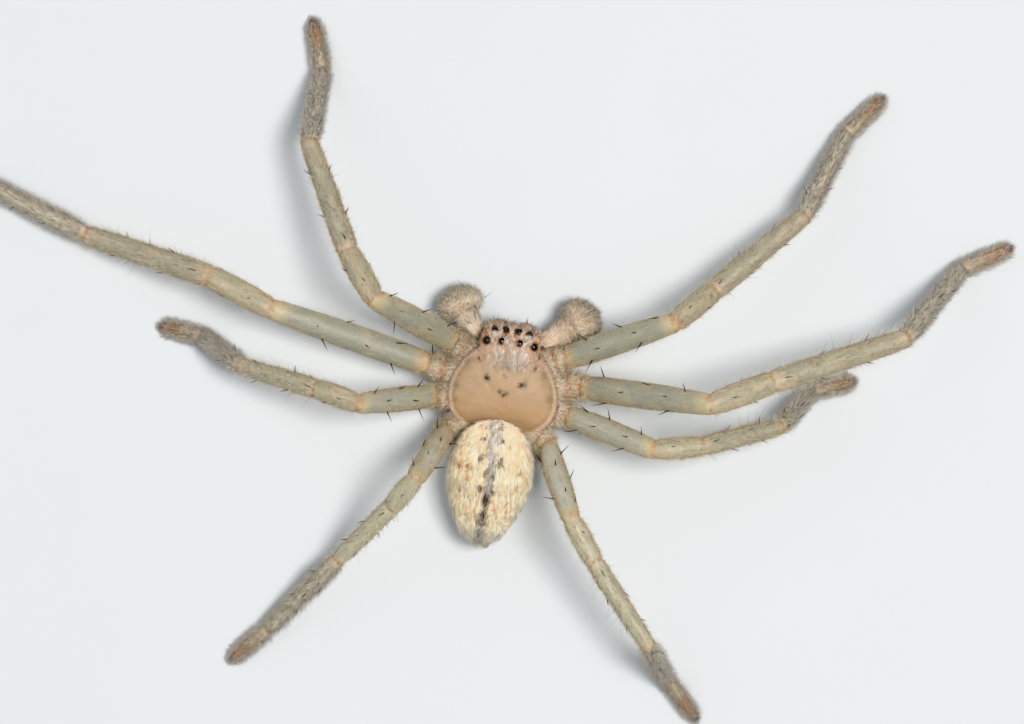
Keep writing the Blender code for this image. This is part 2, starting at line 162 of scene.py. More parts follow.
@dataclass
class Form:
    """Points, triangles and colours of one mesh, and the map places of hairs where it has them."""

    points: np.ndarray
    triangles: np.ndarray
    colours: np.ndarray
    spots: np.ndarray | None = None

    @staticmethod
    def joined(forms: list["Form"]) -> "Form":
        """Joins several forms into one."""
        starts = np.cumsum([0] + [len(form.points) for form in forms[:-1]])
        mapped = all(form.spots is not None for form in forms)
        return Form(
            np.concatenate([form.points for form in forms]),
            np.concatenate([form.triangles + start for form, start in zip(forms, starts)]),
            np.concatenate([form.colours for form in forms]),
            np.concatenate([form.spots for form in forms]) if mapped else None,
        )

    def publish(
        self, name: str, finish: "Finish", slot: str, nodes: tuple[str, ...] = ()
    ) -> bpy.types.Object:
        """Writes the mesh, faces outwards, gives it its finish and body, and hides the CAD nodes that it stands for.

        Args:
            name: Name of the piece.
            finish: What its surface is made of.
            slot: The record's material slot; not used.
            nodes: CAD nodes that the piece stands for.

        Returns:
            The new object, at the origin.
        """
        corners = self.points[self.triangles]
        volume = np.einsum("ij,ij->", corners[:, 0], np.cross(corners[:, 1], corners[:, 2]))
        triangles = self.triangles if volume > 0.0 else self.triangles[:, ::-1]
        mesh = bpy.data.meshes.new(name)
        mesh.vertices.add(len(self.points))
        mesh.vertices.foreach_set("co", to_frame(self.points).astype(np.float32).ravel())
        mesh.loops.add(triangles.size)
        mesh.loops.foreach_set("vertex_index", triangles.astype(np.int32).ravel())
        mesh.polygons.add(len(triangles))
        mesh.polygons.foreach_set("loop_start", np.arange(0, triangles.size, 3, dtype=np.int32))
        mesh.polygons.foreach_set("use_smooth", np.ones(len(triangles), bool))
        mesh.update(calc_edges=True)
        paint = mesh.color_attributes.new("paint", "FLOAT_COLOR", "POINT")
        opaque = np.ones((len(self.points), 1))
        shown = np.clip(self.colours, 0.0, 1.0)
        paint.data.foreach_set("color", np.hstack((shown, opaque)).astype(np.float32).ravel())
        if self.spots is not None:
            places = self.spots[triangles.ravel()].astype(np.float32)
            mesh.uv_layers.new(name="OFBake").uv.foreach_set("vector", places.ravel())
        mesh.materials.append(finish.material())
        piece = bpy.data.objects.new(name, mesh)
        bpy.context.scene.collection.objects.link(piece)
        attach(piece, "root")
        if nodes:
            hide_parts(*nodes)
        LOG.info("%s: %d triangles", name, len(triangles))
        return piece


@dataclass
class Skin:
    """A closed skin: rings of points along its length, shut by a point at either end."""

    rings: np.ndarray

    @property
    def normals(self) -> np.ndarray:
        """Outward directions: the cross product of the steps along and around the grid."""
        around = np.roll(self.rings, -1, axis=1) - np.roll(self.rings, 1, axis=1)
        square = unit(np.cross(around, self.lie))
        outward = self.rings - self.rings.mean(axis=1, keepdims=True)
        return square if (square * outward).sum() > 0.0 else -square

    @property
    def lie(self) -> np.ndarray:
        """Directions along the length."""
        return unit(np.gradient(self.rings, axis=0))

    def form(self, colours: np.ndarray) -> Form:
        """Turns the grid into a closed mesh, two triangles for each cell and a fan at either end."""
        length, around = self.rings.shape[:2]
        grid = np.arange(length * around).reshape(length, around)
        after = np.roll(grid, -1, axis=1)
        first = np.stack((grid[:-1], grid[1:], after[1:]), axis=-1).reshape(-1, 3)
        second = np.stack((grid[:-1], after[1:], after[:-1]), axis=-1).reshape(-1, 3)
        start, end = length * around, length * around + 1
        head = np.stack((grid[0], after[0], np.full(around, start)), axis=-1)
        tail = np.stack((after[-1], grid[-1], np.full(around, end)), axis=-1)
        poles = [self.rings[0].mean(axis=0), self.rings[-1].mean(axis=0)]
        shades = [colours[0].mean(axis=0), colours[-1].mean(axis=0)]
        return Form(
            np.vstack((self.rings.reshape(-1, 3), poles)),
            np.concatenate((first, second, head, tail)),
            np.vstack((colours.reshape(-1, 3), shades)),
        )

    def scatter(self, draw: np.random.Generator, count: int, density: np.ndarray) -> "Roots":
        """Draws hair roots, evenly over the surface but for the density.

        Args:
            draw: Source of the random numbers.
            count: How many roots.
            density: Relative density at every point of the grid.

        Returns:
            The roots, each a place within one cell of the grid.
        """
        step = self.rings[1:] - self.rings[:-1]
        turn = np.roll(self.rings, -1, axis=1) - self.rings
        area = np.linalg.norm(np.cross(step, turn[:-1]), axis=-1) * density[:-1]
        total = np.cumsum(area.ravel())
        cell = np.searchsorted(total, draw.random(count) * total[-1])
        row, column = np.divmod(np.minimum(cell, area.size - 1), area.shape[1])
        return Roots(self, row, column, draw.random(count), draw.random(count))


@dataclass
class Roots:
    """Hair roots on a skin: a row and column of its grid, and the shares within that cell."""

    skin: Skin
    row: np.ndarray
    column: np.ndarray
    down: np.ndarray
    across: np.ndarray

    def read(self, values: np.ndarray) -> np.ndarray:
        """Reads a grid of values at the roots, weighting the four corners of each cell."""
        spread = values.reshape(values.shape + (1,) * (3 - values.ndim))
        after = (self.column + 1) % values.shape[1]
        down, across = self.down[:, None], self.across[:, None]
        near = spread[self.row, self.column] * (1.0 - across) + spread[self.row, after] * across
        far = spread[self.row + 1, self.column] * (1.0 - across) + spread[self.row + 1, after] * across
        mixed = near * (1.0 - down) + far * down
        return mixed if values.ndim == 3 else mixed[:, 0]

    @property
    def spots(self) -> np.ndarray:
        """Places on the skin's own unwrap: along the length and around it, in a unit square."""
        length, around = self.skin.rings.shape[:2]
        places = np.stack(((self.row + self.down) / (length - 1), (self.column + self.across) / around), -1)
        return 0.01 + 0.98 * places


@dataclass(frozen=True)
class Hair:
    """One kind of hair or spine: sizes in millimetres, angles in degrees."""

    length: float
    thickness: float
    lift: float = 14.0
    unruly: float = 14.0
    bend: float = 0.3
    length_spread: float = 0.25
    shade_spread: float = 0.14
    tip_light: float = 1.2
    sides: int = 3
    knots: tuple[float, ...] = (0.0,)
    sunk: float = 0.03
    patch: float = 0.0015

    def grow(
        self,
        draw: np.random.Generator,
        roots: Roots,
        colours: np.ndarray,
        lie: np.ndarray | None = None,
        size: np.ndarray | float = 1.0,
        floor: float = 0.01,
    ) -> Form:
        """Grows one tapered strand from every root.

        A strand's middle line is root + length * (share * direction - bend / 2 * share^2 * normal),
        its radius falls as (1 - share)^0.7, and rings of a few sides along it end in one point.

        Args:
            draw: Source of the random numbers.
            roots: Where the hairs stand.
            colours: Colour of each hair.
            lie: Direction each hair lies along, the skin's own length if left out.
            size: Share of the length that each hair has.
            floor: Height that no hair reaches below.

        Returns:
            The strands as one form with their map places.
        """
        count = len(roots.row)
        points = roots.read(roots.skin.rings)
        normals = unit(roots.read(roots.skin.normals))
        ahead = roots.read(roots.skin.lie) if lie is None else lie
        ahead = unit(ahead - normals * (ahead * normals).sum(axis=-1, keepdims=True))
        turn = np.radians(draw.normal(0.0, self.unruly, count))[:, None]
        ahead = ahead * np.cos(turn) + np.cross(normals, ahead) * np.sin(turn)
        lift = np.radians(np.clip(draw.normal(self.lift, 0.35 * self.lift + 2.0, count), 1.0, 88.0))[:, None]
        direction = ahead * np.cos(lift) + normals * np.sin(lift)
        length = self.length * draw.uniform(1.0 - self.length_spread, 1.0 + self.length_spread, count) * size
        first = unit(np.cross(direction, normals + 1e-6))
        second = np.cross(first, direction)
        angles = 2.0 * math.pi * np.arange(self.sides) / self.sides
        share = np.array(self.knots)[None, :, None, None]
        long = length[:, None, None, None]
        middle = points[:, None, None] - normals[:, None, None] * self.sunk
        middle = middle + long * (
            share * direction[:, None, None] - 0.5 * self.bend * share ** 2 * normals[:, None, None]
        )
        spoke = np.cos(angles)[:, None] * first[:, None, None] + np.sin(angles)[:, None] * second[:, None, None]
        radius = 0.5 * self.thickness * (1.0 - share) ** 0.7
        rings = (middle + spoke * radius).reshape(count, -1, 3)
        tips = points - normals * self.sunk + length[:, None] * (direction - 0.5 * self.bend * normals)
        places = np.concatenate((rings, tips[:, None]), axis=1)
        places[..., 2] = np.maximum(places[..., 2], floor)
        shares = np.append(np.repeat(self.knots, self.sides), 1.0)
        light = draw.normal(1.0, self.shade_spread, (count, 1, 1)) * (1.0 + (self.tip_light - 1.0) * shares[:, None])
        disc = np.append(np.tile(angles, len(self.knots)), 0.0)
        fan = np.stack((np.cos(disc), np.sin(disc)), axis=-1) * (self.patch * (1.0 - shares))[:, None]
        return Form(
            places.reshape(-1, 3),
            (self._faces()[None] + np.arange(count)[:, None, None] * places.shape[1]).reshape(-1, 3),
            (colours[:, None] * np.clip(light, 0.35, 1.7)).reshape(-1, 3),
            (roots.spots[:, None] + fan).reshape(-1, 2),
        )

    def _faces(self) -> np.ndarray:
        """Triangles of one strand: its root's lid, the walls between rings and the tip's fan."""
        ring = np.arange(self.sides)
        after = (ring + 1) % self.sides
        parts = [np.stack((ring * 0, after, ring), axis=-1)[1:-1]]
        for step in range(len(self.knots) - 1):
            low, high = step * self.sides, (step + 1) * self.sides
            parts.append(np.stack((low + ring, low + after, high + after), axis=-1))
            parts.append(np.stack((low + ring, high + after, high + ring), axis=-1))
        last = (len(self.knots) - 1) * self.sides
        parts.append(np.stack((last + ring, last + after, ring * 0 + last + self.sides), axis=-1))
        return np.concatenate(parts)


class Channel:
    """A socket of a material on which + - * and / add Math nodes."""

    def __init__(self, recipe: "Recipe", socket: bpy.types.NodeSocket) -> None:
        """Keeps the socket and the recipe it belongs to."""
        self.recipe = recipe
        self.socket = socket

    def _math(self, operation: str, first: "Channel | float", second: "Channel | float") -> "Channel":
        """Adds one Math node on two values."""
        return self.recipe.node("ShaderNodeMath", {"operation": operation}, {0: first, 1: second})

    def __add__(self, other: "Channel | float") -> "Channel":
        """Adds."""
        return self._math("ADD", self, other)

    __radd__ = __add__

    def __sub__(self, other: "Channel | float") -> "Channel":
        """Subtracts."""
        return self._math("SUBTRACT", self, other)

    def __rsub__(self, other: "Channel | float") -> "Channel":
        """Subtracts from a number."""
        return self._math("SUBTRACT", other, self)

    def __mul__(self, other: "Channel | float") -> "Channel":
        """Multiplies."""
        return self._math("MULTIPLY", self, other)

    __rmul__ = __mul__

    def __truediv__(self, other: "Channel | float") -> "Channel":
        """Divides."""
        return self._math("DIVIDE", self, other)


class Recipe:
    """The node tree of one material, with its Principled shader."""

    def __init__(self, name: str) -> None:
        """Makes the material."""
        self.material = bpy.data.materials.new(name)
        self.material.use_nodes = True
        self.tree = self.material.node_tree
        self.shader = self.tree.nodes["Principled BSDF"]

    def node(
        self, kind: str, settings: dict[str, object], inputs: dict[int | str, object], output: int | str = 0
    ) -> Channel:
        """Adds a node.

        Args:
            kind: Its type.
            settings: Its properties, set first.
            inputs: Value or channel of each socket, by name or number.
            output: Which of its outputs is returned.

        Returns:
            The output as a channel.
        """
        added = self.tree.nodes.new(kind)
        for name, value in settings.items():
            setattr(added, name, value)
        for key, value in inputs.items():
            self.feed(added.inputs[key], value)
        return Channel(self, added.outputs[output])

    def feed(self, socket: bpy.types.NodeSocket, value: object) -> None:
        """Links a channel to a socket, or sets a plain value on it."""
        if isinstance(value, Channel):
            self.tree.links.new(value.socket, socket)
        else:
            socket.default_value = value

    def noise(self, grain: float, detail: float = 2.0) -> Channel:
        """Noise of about the given grain in millimetres, on the object's own coordinates."""
        place = self.node("ShaderNodeTexCoord", {}, {}, "Object")
        return self.node(
            "ShaderNodeTexNoise", {}, {"Vector": place, "Scale": 1.0 / (grain * MM), "Detail": detail}, "Fac"
        )

    def cells(self, grain: float) -> Channel:
        """Distance to the nearest of many scattered points, about a grain apart."""
        place = self.node("ShaderNodeTexCoord", {}, {}, "Object")
        return self.node("ShaderNodeTexVoronoi", {}, {"Vector": place, "Scale": 1.0 / (grain * MM)}, "Distance")

    def lit(self, colour: Channel, light: Channel) -> Channel:
        """Multiplies a colour by a grey value."""
        grey = self.node("ShaderNodeCombineColor", {}, {0: light, 1: light, 2: light})
        settings = {"data_type": "RGBA", "blend_type": "MULTIPLY"}
        return self.node("ShaderNodeMix", settings, {0: 1.0, 6: colour, 7: grey}, 2)


class Grain(Enum):
    """What the fine relief of a finish looks like."""

    SOFT = "soft"
    PORED = "pored"


@dataclass(frozen=True)
class Finish:
    """A painted surface: mottled colour, uneven gloss and fine relief, sizes in millimetres."""

    name: str
    roughness: float = 0.5
    roughness_spread: float = 0.12
    mottle: float = 0.16
    mottle_grain: float = 0.35
    relief: float = 0.012
    relief_grain: float = 0.07
    grain: Grain = Grain.SOFT
    subsurface: float = 0.0
    coat: float = 0.0
    specular: float = 0.5

    def material(self) -> bpy.types.Material:
        """Returns the finish's material, made the first time it is asked for."""
        known = bpy.data.materials.get(self.name)
        return known or self._make()

    def _make(self) -> bpy.types.Material:
        """Builds the node tree: the paint times two noises, a noisy roughness and a bump."""
        recipe = Recipe(self.name)
        paint = recipe.node("ShaderNodeAttribute", {"attribute_name": "paint"}, {}, "Color")
        cloud = recipe.noise(self.mottle_grain)
        light = 1.0 - self.mottle * 0.5 + cloud * self.mottle
        shader = recipe.shader.inputs
        recipe.feed(shader["Base Color"], recipe.lit(paint, light))
        fine = recipe.noise(self.relief_grain)
        recipe.feed(shader["Roughness"], fine * self.roughness_spread + (self.roughness - 0.5 * self.roughness_spread))
        if self.relief:
            height = fine if self.grain is Grain.SOFT else recipe.cells(self.relief_grain) * 0.7 + fine * 0.5
            bump = recipe.node("ShaderNodeBump", {}, {"Strength": 0.6, "Distance": self.relief * MM, "Height": height})
            recipe.feed(shader["Normal"], bump)
        shader["Specular IOR Level"].default_value = self.specular
        shader["Coat Weight"].default_value = self.coat
        shader["Coat Roughness"].default_value = 0.08
        if self.subsurface:
            shader["Subsurface Weight"].default_value = self.subsurface
            shader["Subsurface Radius"].default_value = (1.0, 0.55, 0.30)
            shader["Subsurface Scale"].default_value = 0.35 * MM
        return recipe.material


CARAPACE = Finish("carapace_cuticle", 0.60, 0.14, 0.12, 0.45, 0.008, 0.09, Grain.PORED, 0.08)
LEG_CUTICLE = Finish("leg_cuticle", 0.54, 0.16, 0.22, 0.26, 0.012, 0.10, Grain.PORED, 0.08)
ABDOMEN = Finish("abdomen_skin", 0.66, 0.10, 0.16, 0.22, 0.016, 0.12, Grain.SOFT, 0.08)
PALP_SKIN = Finish("palp_skin", 0.58, 0.12, 0.16, 0.22, 0.012, 0.09, Grain.PORED, 0.08)
JAW = Finish("jaw_shell", 0.36, 0.12, 0.18, 0.30, 0.012, 0.10, Grain.PORED, 0.04, 0.1)
HAIR = Finish("hair", 0.55, 0.10, 0.10, 0.40, 0.0, specular=0.25)
SPINE = Finish("spine", 0.32, 0.10, 0.20, 0.20, 0.004, 0.05, specular=0.35)
HORN = Finish("claw_and_fang", 0.18, 0.08, 0.20, 0.25, 0.004, 0.08, coat=0.4)
EYE = Finish("eye_lens", 0.10, 0.03, 0.10, 0.30, 0.0, specular=0.6)

DARK = tone(44, 34, 30)
WHITE_HAIR = tone(255, 246, 234)
PALE_HAIR = tone(228, 206, 172)
EYE_BLACK = tone(14, 10, 10)
EYE_RING = tone(38, 25, 21)


@dataclass
class Prosoma:
    """Carapace with its head, sternum, mouth lobes and stalk, and all the hair on them."""

    stations: Curve = Curve((
        (-3.00, 0.95, 2.98, 2.84, 2.60), (-2.75, 1.95, 3.30, 3.02, 2.38), (-2.35, 2.75, 3.70, 3.18, 2.15),
        (-1.75, 3.40, 4.20, 3.30, 1.95), (-1.00, 3.75, 4.60, 3.35, 1.85), (-0.30, 3.85, 4.85, 3.40, 1.80),
        (0.50, 3.78, 5.05, 3.42, 1.80), (1.20, 3.55, 5.15, 3.45, 1.80), (1.90, 3.20, 5.20, 3.50, 1.85),
        (2.55, 2.68, 5.20, 3.55, 2.00), (3.00, 2.28, 5.15, 3.60, 2.35), (3.50, 2.14, 5.02, 3.78, 3.36),
        (4.00, 2.08, 4.82, 3.95, 3.74), (4.40, 1.86, 4.55, 4.02, 3.80), (4.68, 1.30, 4.27, 4.04, 3.86),
    ))
    length_points: int = 190
    around_points: int = 168
    roundness: float = 2.5
    inset: float = 0.05
    tuck: float = 0.42
    fovea: tuple[float, float] = (-0.22, -0.95)
    eye_lean: tuple[tuple[float, float], ...] = ((0.0, 1.0), (0.8, 1.6), (0.0, 0.0), (0.15, 0.0))
    eyes: tuple[tuple[str, float, float, float], ...] = (
        ("front_median", 0.46, 4.50, 0.25), ("front_side", 1.24, 4.38, 0.26),
        ("rear_median", 0.64, 3.67, 0.25), ("rear_side", 1.68, 3.58, 0.28),
    )
    tufts: tuple[tuple[float, float, int, float], ...] = (
        (-1.34, 0.93, 16, 0.46), (1.43, 0.85, 16, 0.46), (-0.22, 0.17, 9, 0.32), (0.22, 0.05, 9, 0.32),
        (-1.94, 2.12, 6, 0.34), (1.97, 1.99, 8, 0.36), (0.04, 2.27, 6, 0.30), (-2.20, 2.95, 4, 0.40),
        (2.15, 2.80, 4, 0.40), (-0.05, 1.20, 3, 0.30),
    )
    smudges: tuple[tuple[float, float, float, float], ...] = (
        (-2.72, 1.84, 0.26, 0.40), (-3.32, 0.13, 0.22, 0.26), (2.64, 1.64, 0.24, 0.40), (3.26, 0.10, 0.20, 0.28),
        (-1.94, 2.12, 0.14, 0.18), (1.97, 1.99, 0.12, 0.20), (-3.20, -0.85, 0.14, 0.18), (0.02, 0.11, 0.34, 0.14),
    )
    white_patches: tuple[tuple[float, float, float, float], ...] = (
        (0.72, 2.50, 0.20, 0.40), (1.12, 2.95, 0.22, 0.26), (1.22, 3.55, 0.16, 0.34), (-1.09, 3.19, 0.16, 0.40),
        (-1.05, 4.10, 0.30, 0.10), (-0.50, 4.16, 0.20, 0.09), (1.27, 4.08, 0.28, 0.10), (0.40, 3.05, 0.14, 0.44),
        (-0.60, 2.90, 0.16, 0.40),
    )
    brow: tuple[tuple[float, float, float, float], ...] = ((-1.12, 4.03, 0.24, 0.11), (1.20, 4.03, 0.24, 0.11))

    lobe_path: tuple[tuple[float, ...], ...] = ((0.66, 1.9, 2.2), (1.0, 2.7, 2.02), (1.12, 3.3, 1.94), (0.9, 3.7, 1.98))
    lobe_radii: tuple[float, ...] = (0.34, 0.52, 0.48, 0.26)
    lip_path: tuple[tuple[float, ...], ...] = ((0.0, 2.0, 2.0), (0.0, 2.5, 1.88), (0.0, 2.9, 1.95))
    lip_radii: tuple[float, ...] = (0.5, 0.46, 0.26)
    stalk_path: tuple[tuple[float, ...], ...] = ((0.0, -2.1, 2.9), (0.0, -2.6, 2.72), (0.0, -3.0, 2.48))
    stalk_radii: tuple[float, ...] = (0.42, 0.36, 0.38)

    def outline(self, forward: np.ndarray) -> np.ndarray:
        """Half width, top, edge and bottom at forward distances."""
        return self.stations.at(np.asarray(forward, float))

    def height(self, side: np.ndarray, forward: np.ndarray) -> np.ndarray:
        """Height of the carapace: edge + rise * (1 - |side / half width|^2.5)^(1 / 2.5)."""
        shape = self.outline(forward)
        half_width, top, edge = shape[..., 0], shape[..., 1], shape[..., 2]
        share = np.minimum(np.abs(side) / half_width, 1.0) ** self.roundness
        return edge + (top - edge) * (1.0 - share) ** (1.0 / self.roundness)

    def outward(self, side: float, forward: float, reach: float = 0.22) -> np.ndarray:
        """Outward direction of the carapace at a point, from the heights around it."""
        sides = np.array((side + reach, side - reach, side, side))
        forwards = np.array((forward, forward, forward + reach, forward - reach))
        near = self.height(sides, forwards)
        return unit(np.array((near[1] - near[0], near[3] - near[2], 2.0 * reach)))

    def edge_distance(self, places: np.ndarray) -> np.ndarray:
        """Distance from the carapace's outline, seen from above."""
        forward = np.linspace(-3.0, 4.68, 200)
        half_width = self.outline(forward)[:, 0]
        rim = np.stack((half_width, forward), axis=-1)
        flat = np.abs(places[..., :2]) * (1.0, 0.0) + places[..., :2] * (0.0, 1.0)
        gaps = np.linalg.norm(flat.reshape(-1, 1, 2) - rim[None], axis=-1).min(axis=1)
        return gaps.reshape(places.shape[:-1])

    def relief(self, places: np.ndarray) -> np.ndarray:
        """How far the carapace rises or sinks: fovea, head grooves, furrows, rim and eye mounds."""
        side, forward = places[..., 0], places[..., 1]
        fovea = np.exp(-(side / 0.08) ** 2) * fade(forward, -1.35, -0.9) * fade(forward, -0.05, -0.35)
        groove_side = np.interp(forward, (-0.4, 1.0, 2.6, 3.2), (0.35, 1.55, 2.25, 2.3))
        groove = np.exp(-((np.abs(side) - groove_side) / 0.26) ** 2) * fade(forward, -0.5, 0.4) * fade(forward, 3.2, 2.4)
        bearing = np.arctan2(side, forward - self.fovea[0])
        radius = np.hypot(side, forward - self.fovea[0])
        spokes = np.maximum(np.cos(bearing * 7.0 + 0.5), 0.0) ** 3 * fade(radius, 0.5, 1.3) * fade(radius, 3.4, 2.2)
        spokes = spokes * fade(forward, 1.6, 0.4)
        rim = np.exp(-((self.edge_distance(places) - 0.34) / 0.10) ** 2) * fade(forward, 2.9, 2.2)
        raised = 0.0
        for _, eye_side, eye_forward, radius_of_eye in self.eyes:
            gap = np.hypot(np.abs(side) - eye_side, forward - eye_forward)
            raised = raised + 0.09 * np.exp(-(gap / (1.25 * radius_of_eye)) ** 4)
        brow = 0.05 * mottle(places, 0.9, 3) * fade(forward, 2.0, 3.0)
        return raised + 0.3 * brow - 0.07 * fovea - 0.035 * groove - 0.010 * spokes - 0.022 * rim

    def skin(self) -> Skin:
        """The carapace and its underside as rings across the body, closer together at the ends.

        A ring is a superellipse of power 2.5, its lower half drawn in towards the coxae.
        """
        swing = np.linspace(0.0, math.pi, self.length_points)
        forward = 0.84 + 3.84 * (-np.cos(swing) * 0.6 + (swing / math.pi * 2.0 - 1.0) * 0.4)
        shape = self.outline(forward)[:, None]
        angle = 2.0 * math.pi * np.arange(self.around_points)[None] / self.around_points
        cosine, sine = np.cos(angle), np.sin(angle)
        power = 2.0 / self.roundness
        rise = np.abs(sine) ** power
        half_width, top, edge, bottom = (shape[..., column] for column in range(4))
        spread = np.sign(cosine) * np.abs(cosine) ** power * half_width
        tucked = np.where(sine >= 0.0, 1.0, 1.0 - self.tuck * rise ** 0.5)
        height = np.where(sine >= 0.0, edge + (top - edge) * rise, edge - (edge - bottom - 0.2) * rise)
        rings = np.stack((spread * tucked, forward[:, None] + 0.0 * height, height), axis=-1)
        above = fade(sine, 0.0, 0.3)
        rings[..., 2] += self.relief(rings) * above - self.inset * above
        return Skin(rings)

    def paint(self, skin: Skin) -> np.ndarray:
        """Colours of the carapace: tan, a pale rim, an orange fovea, grey smudges and eye rings."""
        places = skin.rings
        side, forward, height = places[..., 0], places[..., 1], places[..., 2]
        edge = self.outline(forward)[..., 2]
        rim_gap = self.edge_distance(places)
        above = fade(height - edge, -0.05, 0.15)
        colour = np.broadcast_to(tone(158, 132, 104), places.shape)
        colour = laid(colour, tone(152, 128, 96), 0.6 * fade(mottle(places, 2.6, 5), -0.2, 1.0))
        colour = laid(colour, tone(166, 132, 96), 0.5 * fade(forward, 0.2, -1.4))
        colour = laid(colour, tone(168, 140, 118), 0.8 * fade(forward, 1.2, 2.8))
        bearing = np.arctan2(side, forward - self.fovea[0])
        radius = np.hypot(side, forward - self.fovea[0])
        away = fade(radius, 0.4, 1.6) * fade(forward, 2.2, 0.8)
        streaks = np.maximum(np.cos(bearing * 14.0 + 2.0 * mottle(places, 3.0, 6)), 0.0) ** 2
        colour = laid(colour, tone(142, 114, 84), 0.14 * streaks * away)
        lines = fade(mottle(np.stack((bearing * 5.0, radius * 0.35, 0.0 * side), axis=-1), 0.5, 7), 0.1, 1.0)
        colour = laid(colour, tone(182, 156, 128), 0.16 * lines * away)
        centre = np.exp(-((side + 0.10 * (forward + 0.3)) / 0.34) ** 2) * fade(forward, -1.8, -1.1)
        colour = laid(colour, tone(160, 112, 78), 0.22 * centre * fade(forward, 0.3, -0.2))
        body = fade(forward, 3.0, 2.3)
        colour = laid(colour, tone(156, 122, 86), 0.22 * np.exp(-((rim_gap - 0.42) / 0.16) ** 2) * body)
        colour = laid(colour, tone(200, 174, 152), 0.75 * fade(rim_gap, 0.38, 0.14) * body)
        colour = laid(colour, tone(112, 106, 82), 0.70 * dots(places, self.smudges))
        inky = tuple((x, y, 0.05 + 0.006 * count, 0.08 + 0.010 * count) for x, y, count, _ in self.tufts)
        colour = laid(colour, tone(62, 58, 50), 0.85 * dots(places, inky))
        colour = laid(colour, tone(172, 142, 116), 0.7 * fade(forward, 4.25, 4.6))
        for _, eye_side, eye_forward, size in self.eyes:
            gap = np.hypot(np.abs(side) - eye_side, forward - eye_forward)
            colour = laid(colour, tone(150, 102, 68), 0.7 * fade(gap, size * 1.7, size * 1.3))
            colour = laid(colour, EYE_RING, 0.95 * fade(gap, size * 1.25, size * 1.02))
        under = tone(190, 168, 136)
        return laid(np.broadcast_to(under, places.shape), colour, above)

    def sternum(self) -> Skin:
        """The breastplate: a shield that is round in front and pointed behind, slightly domed."""
        share = np.linspace(0.02, 0.98, 40)[:, None]
        angle = 2.0 * math.pi * np.arange(48)[None] / 48
        half_width = 2.05 * np.sin(math.pi * share ** 0.72) ** 0.62
        forward = -2.3 + 4.4 * share + 0.0 * angle
        height = 1.98 - 0.26 * np.sin(angle) * np.sin(math.pi * share) ** 0.5
        side = half_width * np.sign(np.cos(angle)) * np.abs(np.cos(angle)) ** 0.9
        return Skin(np.stack((side, forward, height), axis=-1))

    def build(self) -> None:
        """Writes the carapace with its parts, and its coats."""
        draw = np.random.default_rng(SEED)
        skin = self.skin()
        paint = self.paint(skin)
        forms = [skin.form(paint)]
        sternum = self.sternum()
        edge = np.abs(np.sin(2.0 * math.pi * np.arange(48) / 48))[None] + 0.0 * sternum.rings[..., 0]
        plate = laid(np.broadcast_to(tone(186, 148, 104), sternum.rings.shape), tone(222, 192, 150), edge)
        forms.append(sternum.form(plate))
        lobes = [bent_tube(np.array([mirrored(place, hand) for place in self.lobe_path]), np.array(self.lobe_radii), 28, 24)
                 for hand in HANDS]
        lobes.append(bent_tube(np.array(self.lip_path), np.array(self.lip_radii), 28, 24))
        lobes.append(bent_tube(np.array(self.stalk_path), np.array(self.stalk_radii), 28, 24))
        for lobe, shade in zip(lobes, (tone(206, 176, 138), tone(206, 176, 138), tone(170, 132, 98), tone(216, 190, 160))):
            cloud = 1.0 + 0.10 * mottle(lobe.rings, 0.5, 2)[..., None]
            forms.append(lobe.form(shade * cloud))
        Form.joined(forms).publish("prosoma_skin", CARAPACE, "carapace", ("cephalothorax",))
        self.coat(draw, skin, paint, sternum, lobes).publish("prosoma_coat", HAIR, "carapace")

    def coat(
        self, draw: np.random.Generator, skin: Skin, paint: np.ndarray, sternum: Skin, lobes: list[Skin]
    ) -> Form:
        """Hair of the carapace: a fine nap, white tufts on the head, a fringe over the jaws."""
        places = skin.rings
        side, forward, height = places[..., 0], places[..., 1], places[..., 2]
        above = fade(height - self.outline(forward)[..., 2], 0.02, 0.12)
        lens = np.ones(side.shape)
        for _, eye_side, eye_forward, size in self.eyes:
            lens = lens * fade(np.hypot(np.abs(side) - eye_side, forward - eye_forward), size * 1.0, size * 1.3)
        white = np.clip(dots(places, self.white_patches), 0.0, 1.0)
        face = fade(forward, 4.30, 4.62)
        rim = fade(self.edge_distance(places), 0.5, 0.3) * fade(forward, 3.0, 2.4)
        flow = np.stack((-0.35 * side, -1.0 + 0.0 * side, 0.0 * side), axis=-1)
        spread = np.stack((side, forward - self.fovea[0], 0.0 * side), axis=-1)
        lie = laid(unit(spread), unit(flow), fade(forward, 0.4, 1.8))
        forms = []

        def grow(kind: Hair, count: int, density: np.ndarray, tint: np.ndarray, cover: float,
                 direction: np.ndarray = lie) -> None:
            """Adds one kind of hair, tinted over the skin's own paint."""
            roots = skin.scatter(draw, count, density)
            colours = laid(roots.read(paint), tint, np.full(count, cover))
            forms.append(kind.grow(draw, roots, colours, roots.read(direction)))

